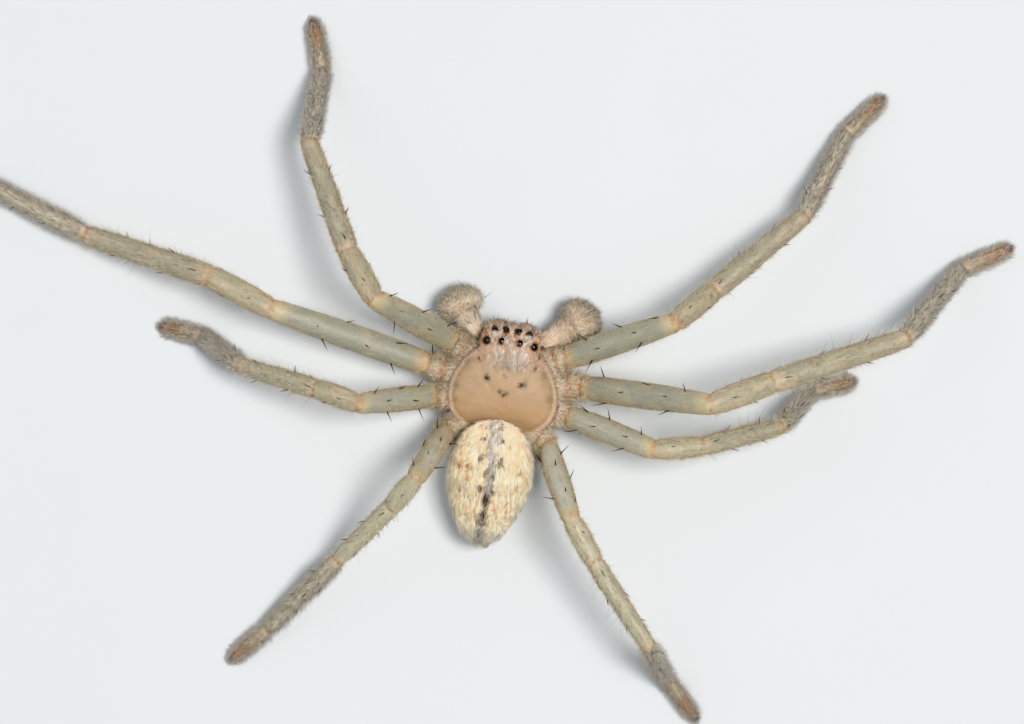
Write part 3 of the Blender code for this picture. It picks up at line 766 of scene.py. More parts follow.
        nap = Hair(0.36, 0.022, lift=7.0, unruly=15.0, tip_light=1.1, shade_spread=0.2)
        open_top = above * lens * (1.0 - rim)
        grow(nap, 9000, open_top * (0.6 + 0.4 * fade(forward, -0.5, 1.6)), tone(206, 180, 150), 0.6)
        grow(nap, 2000, open_top, tone(124, 98, 72), 0.6)
        head = Hair(0.46, 0.030, lift=12.0, unruly=12.0, tip_light=1.1, shade_spread=0.22)
        grow(head, 3600, above * lens * fade(forward, 1.7, 3.1), tone(224, 198, 176), 0.78)
        grow(head, 1200, above * lens * fade(forward, 1.8, 3.0), tone(148, 112, 88), 0.65)
        silk = Hair(0.66, 0.034, lift=9.0, unruly=9.0, bend=0.15, shade_spread=0.12, tip_light=1.0)
        streaky = fade(mottle(places * (1.3, 0.22, 1.0), 0.34, 4), -0.4, 0.8)
        band = fade(forward, 1.7, 2.6) * fade(np.abs(side), 1.9, 1.2)
        grow(silk, 2100, above * lens * band * streaky ** 1.2, tone(248, 232, 216), 0.8)
        grow(silk, 800, above * lens * white * (0.15 + streaky), WHITE_HAIR, 0.92)
        forwards = np.stack((0.35 * side, 1.0 + 0.0 * side, -0.25 + 0.0 * side), axis=-1)
        fringe = Hair(0.58, 0.026, lift=34.0, unruly=22.0, bend=0.15, knots=(0.0, 0.4))
        grow(fringe, 900, face * lens, tone(186, 152, 122), 0.8, forwards)
        grow(fringe, 900, face * lens, tone(236, 220, 202), 0.8, forwards)
        grow(fringe, 160, face * lens, tone(78, 56, 46), 0.8, forwards)
        ahead = np.stack((0.25 * side, 1.0 + 0.0 * side, 0.0 * side), axis=-1)
        brow = Hair(0.34, 0.034, lift=36.0, unruly=16.0, bend=0.35, shade_spread=0.12, tip_light=1.0)
        grow(brow, 230, above * np.maximum(dots(places, self.brow) - 0.2, 0.0), WHITE_HAIR, 0.8, ahead)
        edging = Hair(0.40, 0.024, lift=18.0, unruly=22.0)
        grow(edging, 1900, rim * above, tone(234, 214, 192), 0.85, unit(spread))
        quill = Hair(0.62, 0.034, lift=40.0, unruly=44.0, bend=0.3, tip_light=1.0, knots=(0.0, 0.4, 0.75))
        grow(quill, 90, above * lens * fade(forward, 3.0, 3.5), DARK, 0.95, forwards)
        for tuft_side, tuft_forward, count, length in self.tufts:
            tuft = dots(places, ((tuft_side, tuft_forward, 0.07, 0.12),))
            ink = Hair(length, 0.050, lift=18.0, unruly=16.0, tip_light=1.0, knots=(0.0, 0.5))
            grow(ink, count, above * np.where(tuft > 0.35, tuft, 0.0), tone(34, 34, 34), 0.94, -lie)
        below = (1.0 - above) * fade(forward, 3.4, 2.8)
        grow(nap, 1600, below, PALE_HAIR, 0.6)
        outward = np.stack((side, 0.4 * (forward - 0.4), 0.5 + 0.0 * side), axis=-1)
        wool = Hair(0.85, 0.036, lift=26.0, unruly=26.0, bend=0.3, shade_spread=0.12, tip_light=1.0, knots=(0.0, 0.5))
        flank = (1.0 - above) * fade(height, 2.3, 2.7) * fade(forward, 3.4, 3.0) * fade(forward, -2.9, -2.5)
        grow(wool, 1500, flank, tone(240, 226, 210), 0.85, outward)
        roots = sternum.scatter(draw, 2000, fade(-sternum.normals[..., 2], 0.1, 0.5))
        shades = laid(tone(222, 204, 172)[None], tone(120, 92, 68), fade(draw.random(2000), 0.7, 0.9))
        forms.append(Hair(0.42, 0.024, lift=24.0, unruly=20.0).grow(draw, roots, shades))
        for lobe in lobes:
            roots = lobe.scatter(draw, 320, fade(-lobe.normals[..., 2], -0.4, 0.4))
            shades = laid(tone(222, 202, 170)[None], tone(110, 82, 62), fade(draw.random(320), 0.6, 0.8))
            forms.append(Hair(0.40, 0.026, lift=34.0, unruly=24.0).grow(draw, roots, shades))
        return Form.joined(forms)


def bent_tube(path: np.ndarray, radii: np.ndarray, length_points: int, around_points: int) -> Skin:
    """Carries round rings along a smooth path.

    Args:
        path: Places that the path passes.
        radii: Radius at each of them; both ends are rounded off over one radius.
        length_points: Rings along the path.
        around_points: Points around a ring.

    Returns:
        The tube. A ring is centre + radius * (cos * sideways + sin * upwards), square to the path.
    """
    steps = np.append(0.0, np.cumsum(np.linalg.norm(np.diff(path, axis=0), axis=1)))
    swing = np.linspace(0.0, math.pi, length_points)
    where = steps[-1] * (0.5 - 0.5 * np.cos(swing))
    table = Curve(tuple((step, *place, radius) for step, place, radius in zip(steps, path, radii)))
    read = table.at(where)
    centre, radius = read[:, :3], read[:, 3]
    ends = np.minimum(where / radii[0], (steps[-1] - where) / radii[-1])
    radius = radius * np.sqrt(np.clip(1.0 - (1.0 - np.clip(ends, 0.04, 1.0)) ** 2, 0.0, 1.0))
    along = unit(np.gradient(centre, axis=0))
    guide = UP if abs(along[:, 2]).max() < 0.9 else np.array((1.0, 0.0, 0.0))
    sideways = unit(np.cross(along, guide))
    upward = np.cross(sideways, along)
    angle = 2.0 * math.pi * np.arange(around_points)[None, :, None] / around_points
    spoke = np.cos(angle) * sideways[:, None] + np.sin(angle) * upward[:, None]
    return Skin(centre[:, None] + spoke * radius[:, None, None])


@dataclass
class Eyes:
    """Eight glossy domes on the head."""

    head: Prosoma
    gap: float = 0.14
    swell: float = 0.90
    dome: float = 0.64

    def build(self) -> None:
        """Writes each lens: a dome square to the carapace, brown where it meets its ring."""
        latitude = np.radians(np.linspace(-35.0, 89.0, 30))[:, None]
        angle = 2.0 * math.pi * np.arange(48)[None] / 48
        for (name, side, forward, radius), lean in zip(self.head.eyes, self.head.eye_lean):
            axis = unit(self.head.outward(side, forward) + np.array((*lean, 0.0)))
            foot = np.array((side, forward, float(self.head.height(np.array(side), np.array(forward)))))
            for hand in HANDS:
                up = mirrored(axis, hand)
                first = unit(np.cross(up, (0.0, 1.0, 0.0)))
                second = np.cross(up, first)
                size = radius * self.swell
                reach = size * np.cos(latitude) + 0.0 * angle
                rise = size * self.dome * np.sin(latitude) + 0.0 * angle
                spokes = np.cos(angle)[..., None] * first + np.sin(angle)[..., None] * second
                lens = mirrored(foot, hand) + up * self.gap * 0.4 + spokes * reach[..., None] + up * rise[..., None]
                brown = fade(np.degrees(latitude), 10.0, -4.0) + 0.0 * angle
                paint = laid(np.broadcast_to(EYE_BLACK, lens.shape), EYE_RING, brown)
                Skin(lens).form(paint).publish(f"lens_{name}_{hand}", EYE, "eye", (f"eye_{name}_{hand}",))


@dataclass
class Jaws:
    """Two chelicerae, hairy in front, each with a folded fang."""

    side: float = 0.90
    stations: Curve = Curve((
        (-3.62, 4.10, 0.50, 0.44), (-3.28, 4.24, 0.66, 0.58), (-2.85, 4.31, 0.72, 0.66), (-2.30, 4.32, 0.72, 0.68),
        (-1.80, 4.30, 0.61, 0.60), (-1.48, 4.28, 0.45, 0.46), (-1.36, 4.27, 0.26, 0.28),
    ))
    fang_path: tuple[tuple[float, ...], ...] = (
        (1.06, 4.26, 1.40), (1.02, 4.31, 1.10), (0.90, 4.33, 0.84), (0.66, 4.31, 0.72), (0.34, 4.27, 0.76),
    )
    fang_radii: tuple[float, ...] = (0.26, 0.25, 0.20, 0.13, 0.03)

    def build(self) -> None:
        """Writes the jaws, their coats and the fangs."""
        draw = np.random.default_rng(SEED + 1)
        drop = np.linspace(-3.62, -1.36, 60)
        shape = self.stations.at(drop)[:, None]
        angle = 2.0 * math.pi * np.arange(56)[None] / 56
        for hand in HANDS:
            side = self.side + shape[..., 1] * np.cos(angle)
            forward = shape[..., 0] + shape[..., 2] * np.sin(angle)
            height = -drop[:, None] + 0.0 * angle
            skin = Skin(np.stack((side, forward, height), axis=-1) * ((1.0 if hand == "right" else -1.0), 1.0, 1.0))
            front = fade(np.sin(angle), -0.2, 0.8) + 0.0 * height
            paint = laid(np.broadcast_to(tone(164, 124, 90), skin.rings.shape), tone(116, 76, 52), fade(height, 2.3, 1.5))
            paint = laid(paint, tone(198, 168, 132), 0.7 * front * fade(height, 1.9, 3.0))
            skin.form(paint).publish(f"jaw_{hand}", JAW, "chelicera", (f"chelicera_{hand}",))
            roots = skin.scatter(draw, 2600, 0.25 + front * fade(height, 1.5, 2.2))
            light = laid(roots.read(paint), tone(222, 200, 168), 0.3 + 0.7 * draw.random(2600))
            coat = Hair(0.48, 0.028, lift=26.0, unruly=18.0, shade_spread=0.2).grow(draw, roots, light)
            roots = skin.scatter(draw, 60, front)
            quills = Hair(0.8, 0.034, lift=44.0, bend=0.2, tip_light=1.0, knots=(0.0, 0.4, 0.75))
            dark = quills.grow(draw, roots, np.tile(DARK, (60, 1)))
            Form.joined([coat, dark]).publish(f"jaw_coat_{hand}", HAIR, "chelicera")
            path = np.array([mirrored(place, hand) for place in self.fang_path])
            fang = bent_tube(path, np.array(self.fang_radii), 48, 24)
            tip = np.linspace(0.0, 1.0, 48)[:, None] + 0.0 * fang.rings[..., 0]
            horn = laid(np.broadcast_to(tone(96, 44, 26), fang.rings.shape), tone(22, 10, 8), fade(tip, 0.2, 0.7))
            fang.form(horn).publish(f"fang_shell_{hand}", HORN, "fang", (f"fang_{hand}",))


@dataclass
class Abdomen:
    """The egg-shaped abdomen with its markings, its silky coat and the spinnerets."""

    stations: Curve = Curve((
        (-1.80, 0.30, 5.22, 0.16), (-1.86, 0.52, 5.20, 0.28), (-2.00, 1.02, 5.13, 0.52), (-2.35, 1.66, 4.98, 0.86),
        (-2.90, 2.26, 4.70, 1.28), (-3.60, 2.66, 4.36, 1.70), (-4.50, 2.94, 4.08, 2.04), (-5.50, 3.03, 3.92, 2.20),
        (-6.50, 2.98, 3.80, 2.16), (-7.40, 2.76, 3.70, 1.98), (-8.30, 2.42, 3.58, 1.72), (-9.20, 1.96, 3.44, 1.36),
        (-9.88, 1.48, 3.34, 1.00), (-10.25, 1.02, 3.28, 0.70), (-10.46, 0.46, 3.26, 0.32),
    ))
    pivot: float = -2.6
    turn: float = math.radians(1.2)
    inset: float = 0.09
    length_points: int = 190
    around_points: int = 150
    band: Curve = Curve((
        (-10.4, -0.22, 0.05), (-9.65, -0.19, 0.12), (-8.45, -0.15, 0.15), (-7.50, -0.08, 0.17), (-6.79, -0.10, 0.20),
        (-6.09, -0.02, 0.24), (-5.39, -0.04, 0.27), (-4.69, -0.12, 0.33), (-3.29, -0.18, 0.38), (-2.09, -0.18, 0.42),
    ))
    dark_dots: tuple[tuple[float, ...], ...] = (
        (-0.80, -3.16, 0.17, 0.15), (0.51, -3.18, 0.16, 0.15), (-0.81, -4.51, 0.15, 0.24), (0.55, -4.66, 0.19, 0.30),
        (0.28, -5.69, 0.14, 0.20), (-0.35, -5.55, 0.12, 0.20), (-0.60, -6.67, 0.20, 0.19), (0.30, -6.78, 0.19, 0.22),
        (-0.10, -7.22, 0.24, 0.30), (-0.06, -7.60, 0.26, 0.26), (-0.14, -8.46, 0.24, 0.26), (-0.15, -9.02, 0.38, 0.15),
        (-0.20, -9.80, 0.26, 0.34), (-0.62, -2.32, 0.11, 0.12), (0.32, -2.20, 0.11, 0.12),
    )
    red_dots: tuple[tuple[float, ...], ...] = (
        (-2.27, -5.15, 0.14, 0.20), (-1.64, -5.13, 0.13, 0.18), (1.07, -3.42, 0.12, 0.12), (2.04, -5.14, 0.12, 0.20),
        (1.91, -6.16, 0.13, 0.20), (1.04, -6.75, 0.12, 0.12), (0.63, -7.98, 0.12, 0.12), (-1.57, -6.04, 0.12, 0.14),
        (-0.94, -2.30, 0.10, 0.10), (-1.95, -6.90, 0.10, 0.16), (1.40, -7.50, 0.10, 0.14),
    )
    boss: tuple[tuple[float, ...], ...] = ((0.0, -9.25, 3.05), (0.0, -9.55, 2.45), (0.0, -9.84, 2.00), (0.0, -10.06, 1.64))
    boss_radii: tuple[float, ...] = (0.50, 0.64, 0.60, 0.46)
    cone_rows: tuple[tuple[float, float, float], ...] = ((0.30, 0.16, -0.10), (0.17, 0.02, -0.22), (0.34, -0.10, -0.34))

    def skin(self) -> Skin:
        """Elliptical rings through the stations, a little wrinkled behind and turned on the stalk."""
        swing = np.linspace(0.0, math.pi, self.length_points)
        forward = -6.12 + 4.32 * (np.cos(swing) * 0.75 + (1.0 - swing / math.pi * 2.0) * 0.25)
        shape = self.stations.at(forward)[:, None]
        angle = 2.0 * math.pi * np.arange(self.around_points)[None] / self.around_points
        half_width = np.maximum(shape[..., 0] - self.inset, 0.1)
        half_height = np.maximum(shape[..., 2] - self.inset, 0.08)
        side = half_width * np.cos(angle)
        height = shape[..., 1] + half_height * np.sin(angle)
        arm = forward[:, None] - self.pivot
        turned = side * math.cos(self.turn) + arm * math.sin(self.turn)
        ahead = self.pivot + arm * math.cos(self.turn) - side * math.sin(self.turn)
        rings = np.stack((turned, ahead, height), axis=-1)
        skin = Skin(rings)
        wrinkle = 0.004 * np.sin(ahead * 9.0 + 2.5 * mottle(rings, 1.6, 8)) * fade(ahead, -5.0, -8.0)
        bumps = 0.010 * mottle(rings, 1.6, 9)
        skin.rings = rings + skin.normals * (wrinkle + bumps)[..., None]
        return skin

    def paint(self, places: np.ndarray, normals: np.ndarray) -> np.ndarray:
        """Colours: cream, ochre mottling, a grey middle band with dark and reddish dots."""
        side, forward = places[..., 0], places[..., 1]
        above = fade(normals[..., 2], -0.15, 0.35)
        stretched = places * (1.0, 0.55, 1.0)
        colour = np.broadcast_to(tone(248, 232, 194), places.shape)
        ochre = 0.7 * mottle(stretched, 1.3, 11) + 0.8 * mottle(stretched * (1.0, 0.5, 1.0), 0.34, 12)
        ochre = fade(ochre, -0.2, 1.2) * (0.50 + 0.25 * fade(forward, -5.5, -8.5))
        colour = laid(colour, tone(224, 172, 98), ochre)
        colour = laid(colour, tone(255, 248, 224), 0.8 * fade(mottle(stretched * (1.0, 0.7, 1.0), 0.5, 13), 0.3, 1.2))
        grains = fade(mottle(stretched * (1.0, 0.6, 1.0), 0.20, 16), 0.4, 1.2)
        colour = laid(colour, tone(182, 128, 74), 0.50 * grains)
        band = self.band.at(forward)
        gap = np.abs(side - band[..., 0]) / band[..., 1]
        rough = gap + 0.28 * mottle(places, 0.45, 14)
        cover = fade(rough, 1.35, 0.75) * (0.85 - 0.45 * fade(forward, -7.0, -8.2))
        colour = laid(colour, tone(158, 148, 142), cover)
        lines = mottle(places * (1.0, 0.18, 1.0), 0.20, 19)
        colour = laid(colour, tone(226, 218, 208), 0.6 * cover * fade(lines, 0.2, 1.0))
        colour = laid(colour, tone(96, 84, 82), 0.7 * cover * fade(-lines, 0.2, 1.0))
        colour = laid(colour, tone(104, 90, 84), 0.35 * fade(rough, 0.7, 0.1) * fade(forward, -3.4, -6.0))
        front = fade(forward, -2.7, -2.0)
        colour = laid(colour, tone(236, 208, 188), 0.7 * front * (1.0 - cover))
        bars = np.maximum(np.sin(forward * 6.4 + 0.9 * mottle(places, 1.0, 17)), 0.0) ** 2
        bars = bars * fade(gap, 6.5, 2.0) * fade(forward, -7.2, -8.0) * fade(forward, -10.2, -9.4)
        colour = laid(colour, tone(162, 138, 110), 0.22 * bars * fade(mottle(stretched, 0.4, 18), -0.8, 0.6))
        frayed = places + np.stack((0.07 * mottle(places, 0.30, 21), 0.12 * mottle(places, 0.34, 22), 0.0 * side), -1)
        colour = laid(colour, tone(190, 104, 56), 0.66 * dots(frayed, self.red_dots))
        colour = laid(colour, tone(70, 50, 48), 0.92 * np.minimum(1.5 * dots(frayed, self.dark_dots), 1.0))
        flank = fade(normals[..., 2], 0.55, 0.15) * fade(forward, -2.6, -3.4)
        colour = laid(colour, tone(240, 228, 206), 0.6 * flank)
        belly = laid(np.broadcast_to(tone(212, 194, 160), places.shape), tone(232, 222, 200),
                     fade(mottle(places, 1.1, 15), 0, 1))
        return laid(belly, colour, above)

    def build(self) -> None:
        """Writes the abdomen, its coat and the spinnerets."""
        draw = np.random.default_rng(SEED + 2)
        skin = self.skin()
        paint = self.paint(skin.rings, skin.normals)
        skin.form(paint).publish("abdomen_skin", ABDOMEN, "abdomen", ("abdomen",))
        forward, facing = skin.rings[..., 1], skin.normals[..., 2]
        tail = fade(forward, -8.6, -10.4)
        forms = []

        def grow(kind: Hair, count: int, density: np.ndarray, tint: np.ndarray, cover: float) -> None:
            """Adds one kind of hair, tinted over the skin's own paint, longer towards the tail."""
            roots = skin.scatter(draw, count, density)
            own = self.paint(roots.read(skin.rings), unit(roots.read(skin.normals)))
            colours = laid(own, tint, np.full(count, cover))
            forms.append(kind.grow(draw, roots, colours, size=1.0 + 0.25 * roots.read(tail)))

        ahead = skin.rings + np.array((0.0, -0.28, 0.0))
        marks = dots(ahead, self.dark_dots)
        blots = np.maximum(marks, 0.7 * dots(ahead, self.red_dots))
        open_front = (0.35 + 0.65 * fade(forward, -1.9, -3.2)) * (1.0 - 0.8 * blots)
        upper = 0.5 + 0.5 * fade(facing, -0.4, 0.3)
        silk = Hair(0.60, 0.034, lift=9.0, unruly=9.0, tip_light=1.08, shade_spread=0.22)
        grow(silk, 20000, open_front * upper, tone(250, 236, 208), 0.16)
        longer = Hair(0.80, 0.028, lift=16.0, unruly=9.0, tip_light=1.04, shade_spread=0.10)
        grow(longer, 9400, open_front * (0.7 + tail), tone(255, 250, 238), 0.66)
        umber = Hair(0.50, 0.028, lift=13.0, unruly=12.0, tip_light=0.95)
        grow(umber, 5200, open_front * (0.5 + tail + fade(facing, 0.3, -0.1)), tone(148, 108, 70), 0.62)
        plume = Hair(0.60, 0.024, lift=20.0, unruly=9.0, bend=0.3, tip_light=1.0, shade_spread=0.1, knots=(0.0, 0.5),
                     length_spread=0.35)
        grow(plume, 700, fade(forward, -8.4, -10.4) * fade(facing, -0.9, -0.4), tone(255, 250, 236), 0.85)
        soot = Hair(0.34, 0.042, lift=15.0, unruly=20.0, tip_light=1.0, shade_spread=0.2)
        grow(soot, 1700, dots(skin.rings, self.dark_dots) ** 1.5 * fade(facing, -0.1, 0.3), tone(76, 58, 54), 0.8)
        rust = dots(skin.rings, self.red_dots) ** 2 * fade(facing, 0.0, 0.3)
        grow(soot, 480, rust, tone(176, 98, 54), 0.8)
        Form.joined(forms).publish("abdomen_coat", HAIR, "abdomen")
        self.spinnerets(draw)

    def spinnerets(self, draw: np.random.Generator) -> None:
        """Writes a low boss and three pairs of hairy cones under the tail."""
        parts = [bent_tube(np.array(self.boss), np.array(self.boss_radii), 30, 32)]
        middle = np.array((0.0, -9.94, 1.90))
        for side, rise, drop in self.cone_rows:
            for hand in HANDS:
                base = middle + mirrored((side, 0.12, rise), hand)
                tip = base + mirrored((0.06, -0.95, drop - 0.08), hand)
                path = np.array((base, 0.45 * base + 0.55 * tip, tip))
                parts.append(bent_tube(path, np.array((0.25, 0.22, 0.10)), 26, 20))
        forms, coats = [], []
        for part in parts:
            colour = laid(np.broadcast_to(tone(212, 194, 164), part.rings.shape), tone(150, 126, 100),
                          fade(part.rings[..., 1], -10.1, -10.9))
            forms.append(part.form(colour))
            roots = part.scatter(draw, 420, np.ones(part.rings.shape[:2]))
            shades = laid(roots.read(colour), tone(250, 242, 224), 0.7 * draw.random(420))
            coats.append(Hair(0.36, 0.026, lift=26.0, unruly=18.0).grow(draw, roots, shades))
        Form.joined(forms).publish("spinneret_skin", ABDOMEN, "abdomen", ("spinnerets",))
        Form.joined(coats).publish("spinneret_coat", HAIR, "abdomen")


@dataclass
class Chain:
    """A limb as a chain of segments whose end faces meet on the planes between them."""

    joints: np.ndarray
    profiles: list[Curve]
    depths: tuple[float, ...] = (0.10, 0.07, 0.06, 0.06, 0.04, 0.03)
    spacing: float = 0.13
    around: int = 48
    flatness: tuple[float, ...] = ()
    reach: float = 0.45
    groove: float = 0.09
    groove_width: float = 0.15

    def skin(self) -> tuple[Skin, np.ndarray, np.ndarray, np.ndarray]:
        """Carries each segment's profile along it, its ends slid onto the joint planes.

        A ring point is its offset across the segment, slid lengthwise by the slant of the nearer
        plane, which fades out towards the middle; the radius dips a little at every joint.

        Returns:
            The skin, and for each ring its segment, its share of the segment and its distance in
            millimetres to the nearer joint.
        """
        steps = unit(np.diff(self.joints, axis=0))
        planes = np.vstack((steps[:1], unit(steps[:-1] + steps[1:]), steps[-1:]))
        angle = 2.0 * math.pi * np.arange(self.around)[None, :, None] / self.around
        flats = self.flatness or (1.0,) * (len(self.profiles) + 1)
        rings, segments, shares, gaps = [], [], [], []
        last = len(self.profiles) - 1
        for index, profile in enumerate(self.profiles):
            start, end = self.joints[index], self.joints[index + 1]
            length = float(np.linalg.norm(end - start))
            along = steps[index]
            sideways = unit(np.cross(along, UP))
            upward = np.cross(sideways, along)
            count = max(int(length / self.spacing), 12)
            share = (np.arange(count) + (0.0 if index == 0 else 0.5)) / (count - (0.5 if index == last else 0.0))
            if index == last:
                share = np.minimum(share * 1.012, 1.0)
            distance = share * length
            inner = distance if index else np.full(count, 9.0)
            outer = length - distance if index < last else np.full(count, 9.0)
            joint_gap = np.minimum(inner, outer)
            radius = profile.at(share)[:, 0] - self.depths[index] * fade(length - distance + (9.0 if index < last else 0.0), 0.0, 0.2)
            radius = radius * (1.0 - self.groove * np.exp(-(joint_gap / self.groove_width) ** 2))
            flat = (flats[index] + (flats[index + 1] - flats[index]) * share)[:, None, None]
            offset = radius[:, None, None] * (np.cos(angle) * sideways + np.sin(angle) * upward * flat)
            near = np.clip(1.0 - distance / (self.reach * length), 0.0, 1.0)[:, None] ** 2
            far = np.clip(1.0 - (length - distance) / (self.reach * length), 0.0, 1.0)[:, None] ** 2
            slide = near * -(offset @ planes[index]) / (along @ planes[index])
            slide = slide + far * -(offset @ planes[index + 1]) / (along @ planes[index + 1])
            rings.append(start + offset + along * (distance[:, None] + slide)[..., None])
            segments.append(np.full(count, index))
            shares.append(share)
            gaps.append(joint_gap)
        skin = Skin(np.concatenate(rings))
        skin.rings[..., 2] = np.maximum(skin.rings[..., 2], 0.0)
        return skin, np.concatenate(segments), np.concatenate(shares), np.concatenate(gaps)


class Segment(Enum):
    """Segments of a leg from the body outwards, numbered as in the chain."""

    COXA = 0
    FEMUR = 1
    PATELLA = 2
    TIBIA = 3
    METATARSUS = 4
    TARSUS = 5


@dataclass
class Leg:
    """One leg from its coxa to its claws, as one skin with coats, spines and claws."""

    pair: int
    hand: str
    roots: dict[int, tuple[float, ...]] = field(default_factory=lambda: {
        1: (1.2, 1.9, 2.60), 2: (1.5, 0.7, 2.60), 3: (1.5, -0.6, 2.60), 4: (1.1, -1.7, 2.60)})
    hips: dict[int, tuple[float, ...]] = field(default_factory=lambda: {
        1: (3.98, 3.10, 2.60), 2: (5.45, 1.28, 2.60), 3: (4.74, -0.84, 2.60), 4: (3.56, -3.12, 2.60)})
    lengths: dict[int, tuple[float, ...]] = field(default_factory=lambda: {
        1: (9.15, 3.95, 8.55, 7.20, 3.70), 2: (12.00, 4.75, 10.20, 9.00, 3.90),
        3: (7.65, 3.35, 6.05, 5.25, 3.15), 4: (7.90, 3.35, 7.05, 7.40, 3.50)})
    radii: dict[int, tuple[float, ...]] = field(default_factory=lambda: {
        1: (1.0, 0.98, 0.88, 0.82, 0.65, 0.54), 2: (1.0, 1.00, 0.92, 0.88, 0.67, 0.56),
        3: (1.0, 0.93, 0.80, 0.73, 0.62, 0.52), 4: (1.0, 0.90, 0.78, 0.69, 0.61, 0.51)})
    stances: dict[tuple[int, str], tuple[tuple[float, ...], tuple[float, ...]]] = field(default_factory=lambda: {
        (1, "right"): ((63.0, 43.0, 42.0, 20.0, 37.0), (7.15, 5.30, 3.60)),
        (1, "left"): ((69.5, 38.5, 28.5, 1.0, 19.0), (9.40, 8.10, 5.70)),
        (2, "right"): ((89.0, 62.0, 63.5, 34.0, 58.5), (10.80, 9.30, 6.90)),
        (2, "left"): ((79.0, 70.5, 80.0, 71.5, 75.0), (5.30, 5.20, 1.50)),
        (3, "right"): ((103.0, 77.0, 68.0, 36.0, 70.0), (6.80, 6.90, 4.75)),
        (3, "left"): ((104.0, 79.5, 82.0, 63.0, 85.0), (8.20, 6.95, 4.70)),
        (4, "right"): ((153.0, 143.5, 139.0, 142.5, 135.5), (8.50, 8.50, 7.50)),
        (4, "left"): ((156.0, 148.5, 143.5, 143.0, 138.5), (9.50, 7.20, 2.95))})
    foot_heights: tuple[float, float] = (0.85, 0.25)
    pallor: dict[int, float] = field(default_factory=lambda: {1: 0.0, 2: 0.06, 3: 0.35, 4: 0.85})
    joint_strength: tuple[float, ...] = (0.0, 0.5, 0.8, 0.35, 0.7, 0.4, 0.0)
    profiles: tuple[Curve, ...] = (
        Curve(((0.0, 0.50), (0.35, 0.82), (0.60, 0.96), (0.70, 0.84), (0.80, 0.96), (1.0, 0.84))),
        Curve(((0.0, 0.78), (0.08, 0.92), (0.3, 1.0), (0.62, 0.98), (0.88, 0.87), (1.0, 0.80))),
        Curve(((0.0, 0.86), (0.2, 0.95), (0.5, 1.0), (0.8, 0.97), (1.0, 0.92))),
        Curve(((0.0, 0.94), (0.1, 1.0), (0.4, 0.98), (0.7, 0.93), (0.92, 0.88), (1.0, 0.82))),
        Curve(((0.0, 0.92), (0.1, 1.0), (0.5, 0.95), (0.9, 0.90), (1.0, 0.86))),
        Curve(((0.0, 0.92), (0.12, 1.0), (0.45, 1.0), (0.72, 0.97), (0.88, 0.86), (0.96, 0.62), (1.0, 0.16))),
    )

    def joints(self) -> np.ndarray:
        """Joints from the coxa's root to the tip: each bearing is a segment's heading from above."""
        bearings, heights = self.stances[(self.pair, self.hand)]
        sign = 1.0 if self.hand == "right" else -1.0
        root, place = mirrored(self.roots[self.pair], self.hand), mirrored(self.hips[self.pair], self.hand)
        places = [root, place]
        for length, bearing, height in zip(self.lengths[self.pair], bearings, heights + self.foot_heights):
            run = math.sqrt(length ** 2 - (height - place[2]) ** 2)
            heading = math.radians(bearing)
            place = np.array((place[0] + sign * run * math.sin(heading), place[1] + run * math.cos(heading), height))
            places.append(place)
        return np.array(places)

    def chain(self) -> Chain:
        """The leg's joints and its six profiles at their real radii."""
        scaled = [
            Curve(tuple((share, value * radius) for share, value in profile.stations))
            for profile, radius in zip(self.profiles, self.radii[self.pair])
        ]
        return Chain(self.joints(), scaled)

    def paint(self, skin: Skin, segment: np.ndarray, share: np.ndarray, gap: np.ndarray) -> np.ndarray:
        """Colours of the leg: a grey-green window on each femur, beige joints, grey-brown ends."""
        window_tone = laid(tone(134, 133, 118), tone(168, 165, 152), self.pallor[self.pair])
        tops = np.array([tone(140, 122, 96), window_tone, tone(151, 142, 119), tone(143, 137, 118),
                         tone(158, 151, 134), tone(148, 134, 111)])
        flanks = np.array([tone(148, 127, 98), tone(158, 146, 121), tone(168, 151, 123), tone(164, 148, 125),
                           tone(158, 151, 136), tone(148, 137, 120)])
        # The pair's own pallor, plus painted light on the left hind leg: its patella and tibia are painted lighter and
        # their dark streaks weaker, to make up for the shade it lies in, away from the key lamp.
        pale = 0.36 * self.pallor[self.pair] + 0.34 * (self.pair == 4 and self.hand == "left")
        tops[2:4] = laid(tops[2:4], tone(184, 182, 156), pale)
        flanks[2:4] = laid(flanks[2:4], tone(188, 182, 154), pale)
        places = skin.rings
        facing = skin.normals[..., 2]
        centre = places.mean(axis=1)
        along = np.append(0.0, np.cumsum(np.linalg.norm(np.diff(centre, axis=0), axis=1)))[:, None]
        angle = 2.0 * math.pi * np.arange(places.shape[1]) / places.shape[1]
        unrolled = np.stack(np.broadcast_arrays(0.22 * along, 0.8 * np.cos(angle), 0.8 * np.sin(angle)), axis=-1)
        streak = mottle(unrolled, 0.50, 40 + self.pair)
        thread = mottle(unrolled, 0.30, 70 + self.pair)
        wave = mottle(places, 1.6, 30 + self.pair)
        window = fade(facing + 0.12 * wave, 0.28, 0.70)
        ends = np.minimum(share, 1.0 - share)
        inside = (fade(ends, 0.02, 0.13) * np.isin(segment, (1, 2, 3)) + 1.0 * np.isin(segment, (0, 4, 5)))[:, None]
        colour = laid(flanks[segment][:, None] + 0.0 * places, tops[segment][:, None] + 0.0 * places, window * inside)
        late = np.isin(segment, (2, 3))[:, None] * 1.0
        foot = np.isin(segment, (4, 5))[:, None] * 1.0
        femur = (segment == 1)[:, None] * 1.0
        colour = laid(colour, tone(134, 132, 116), 0.40 * (1.0 - pale) * late * fade(streak, 0.0, 1.0))
        colour = laid(colour, tone(190, 174, 146), 0.24 * late * fade(-streak, 0.2, 1.1))
        colour = laid(colour, tone(132, 108, 80), 0.34 * (1.0 - pale) * late * fade(thread, 0.5, 1.2))
        speck = fade(mottle(places, 0.42, 90 + self.pair), 1.0, 1.6)
        colour = laid(colour, tone(112, 90, 66), 0.42 * (1.0 - 0.6 * pale) * late * speck)
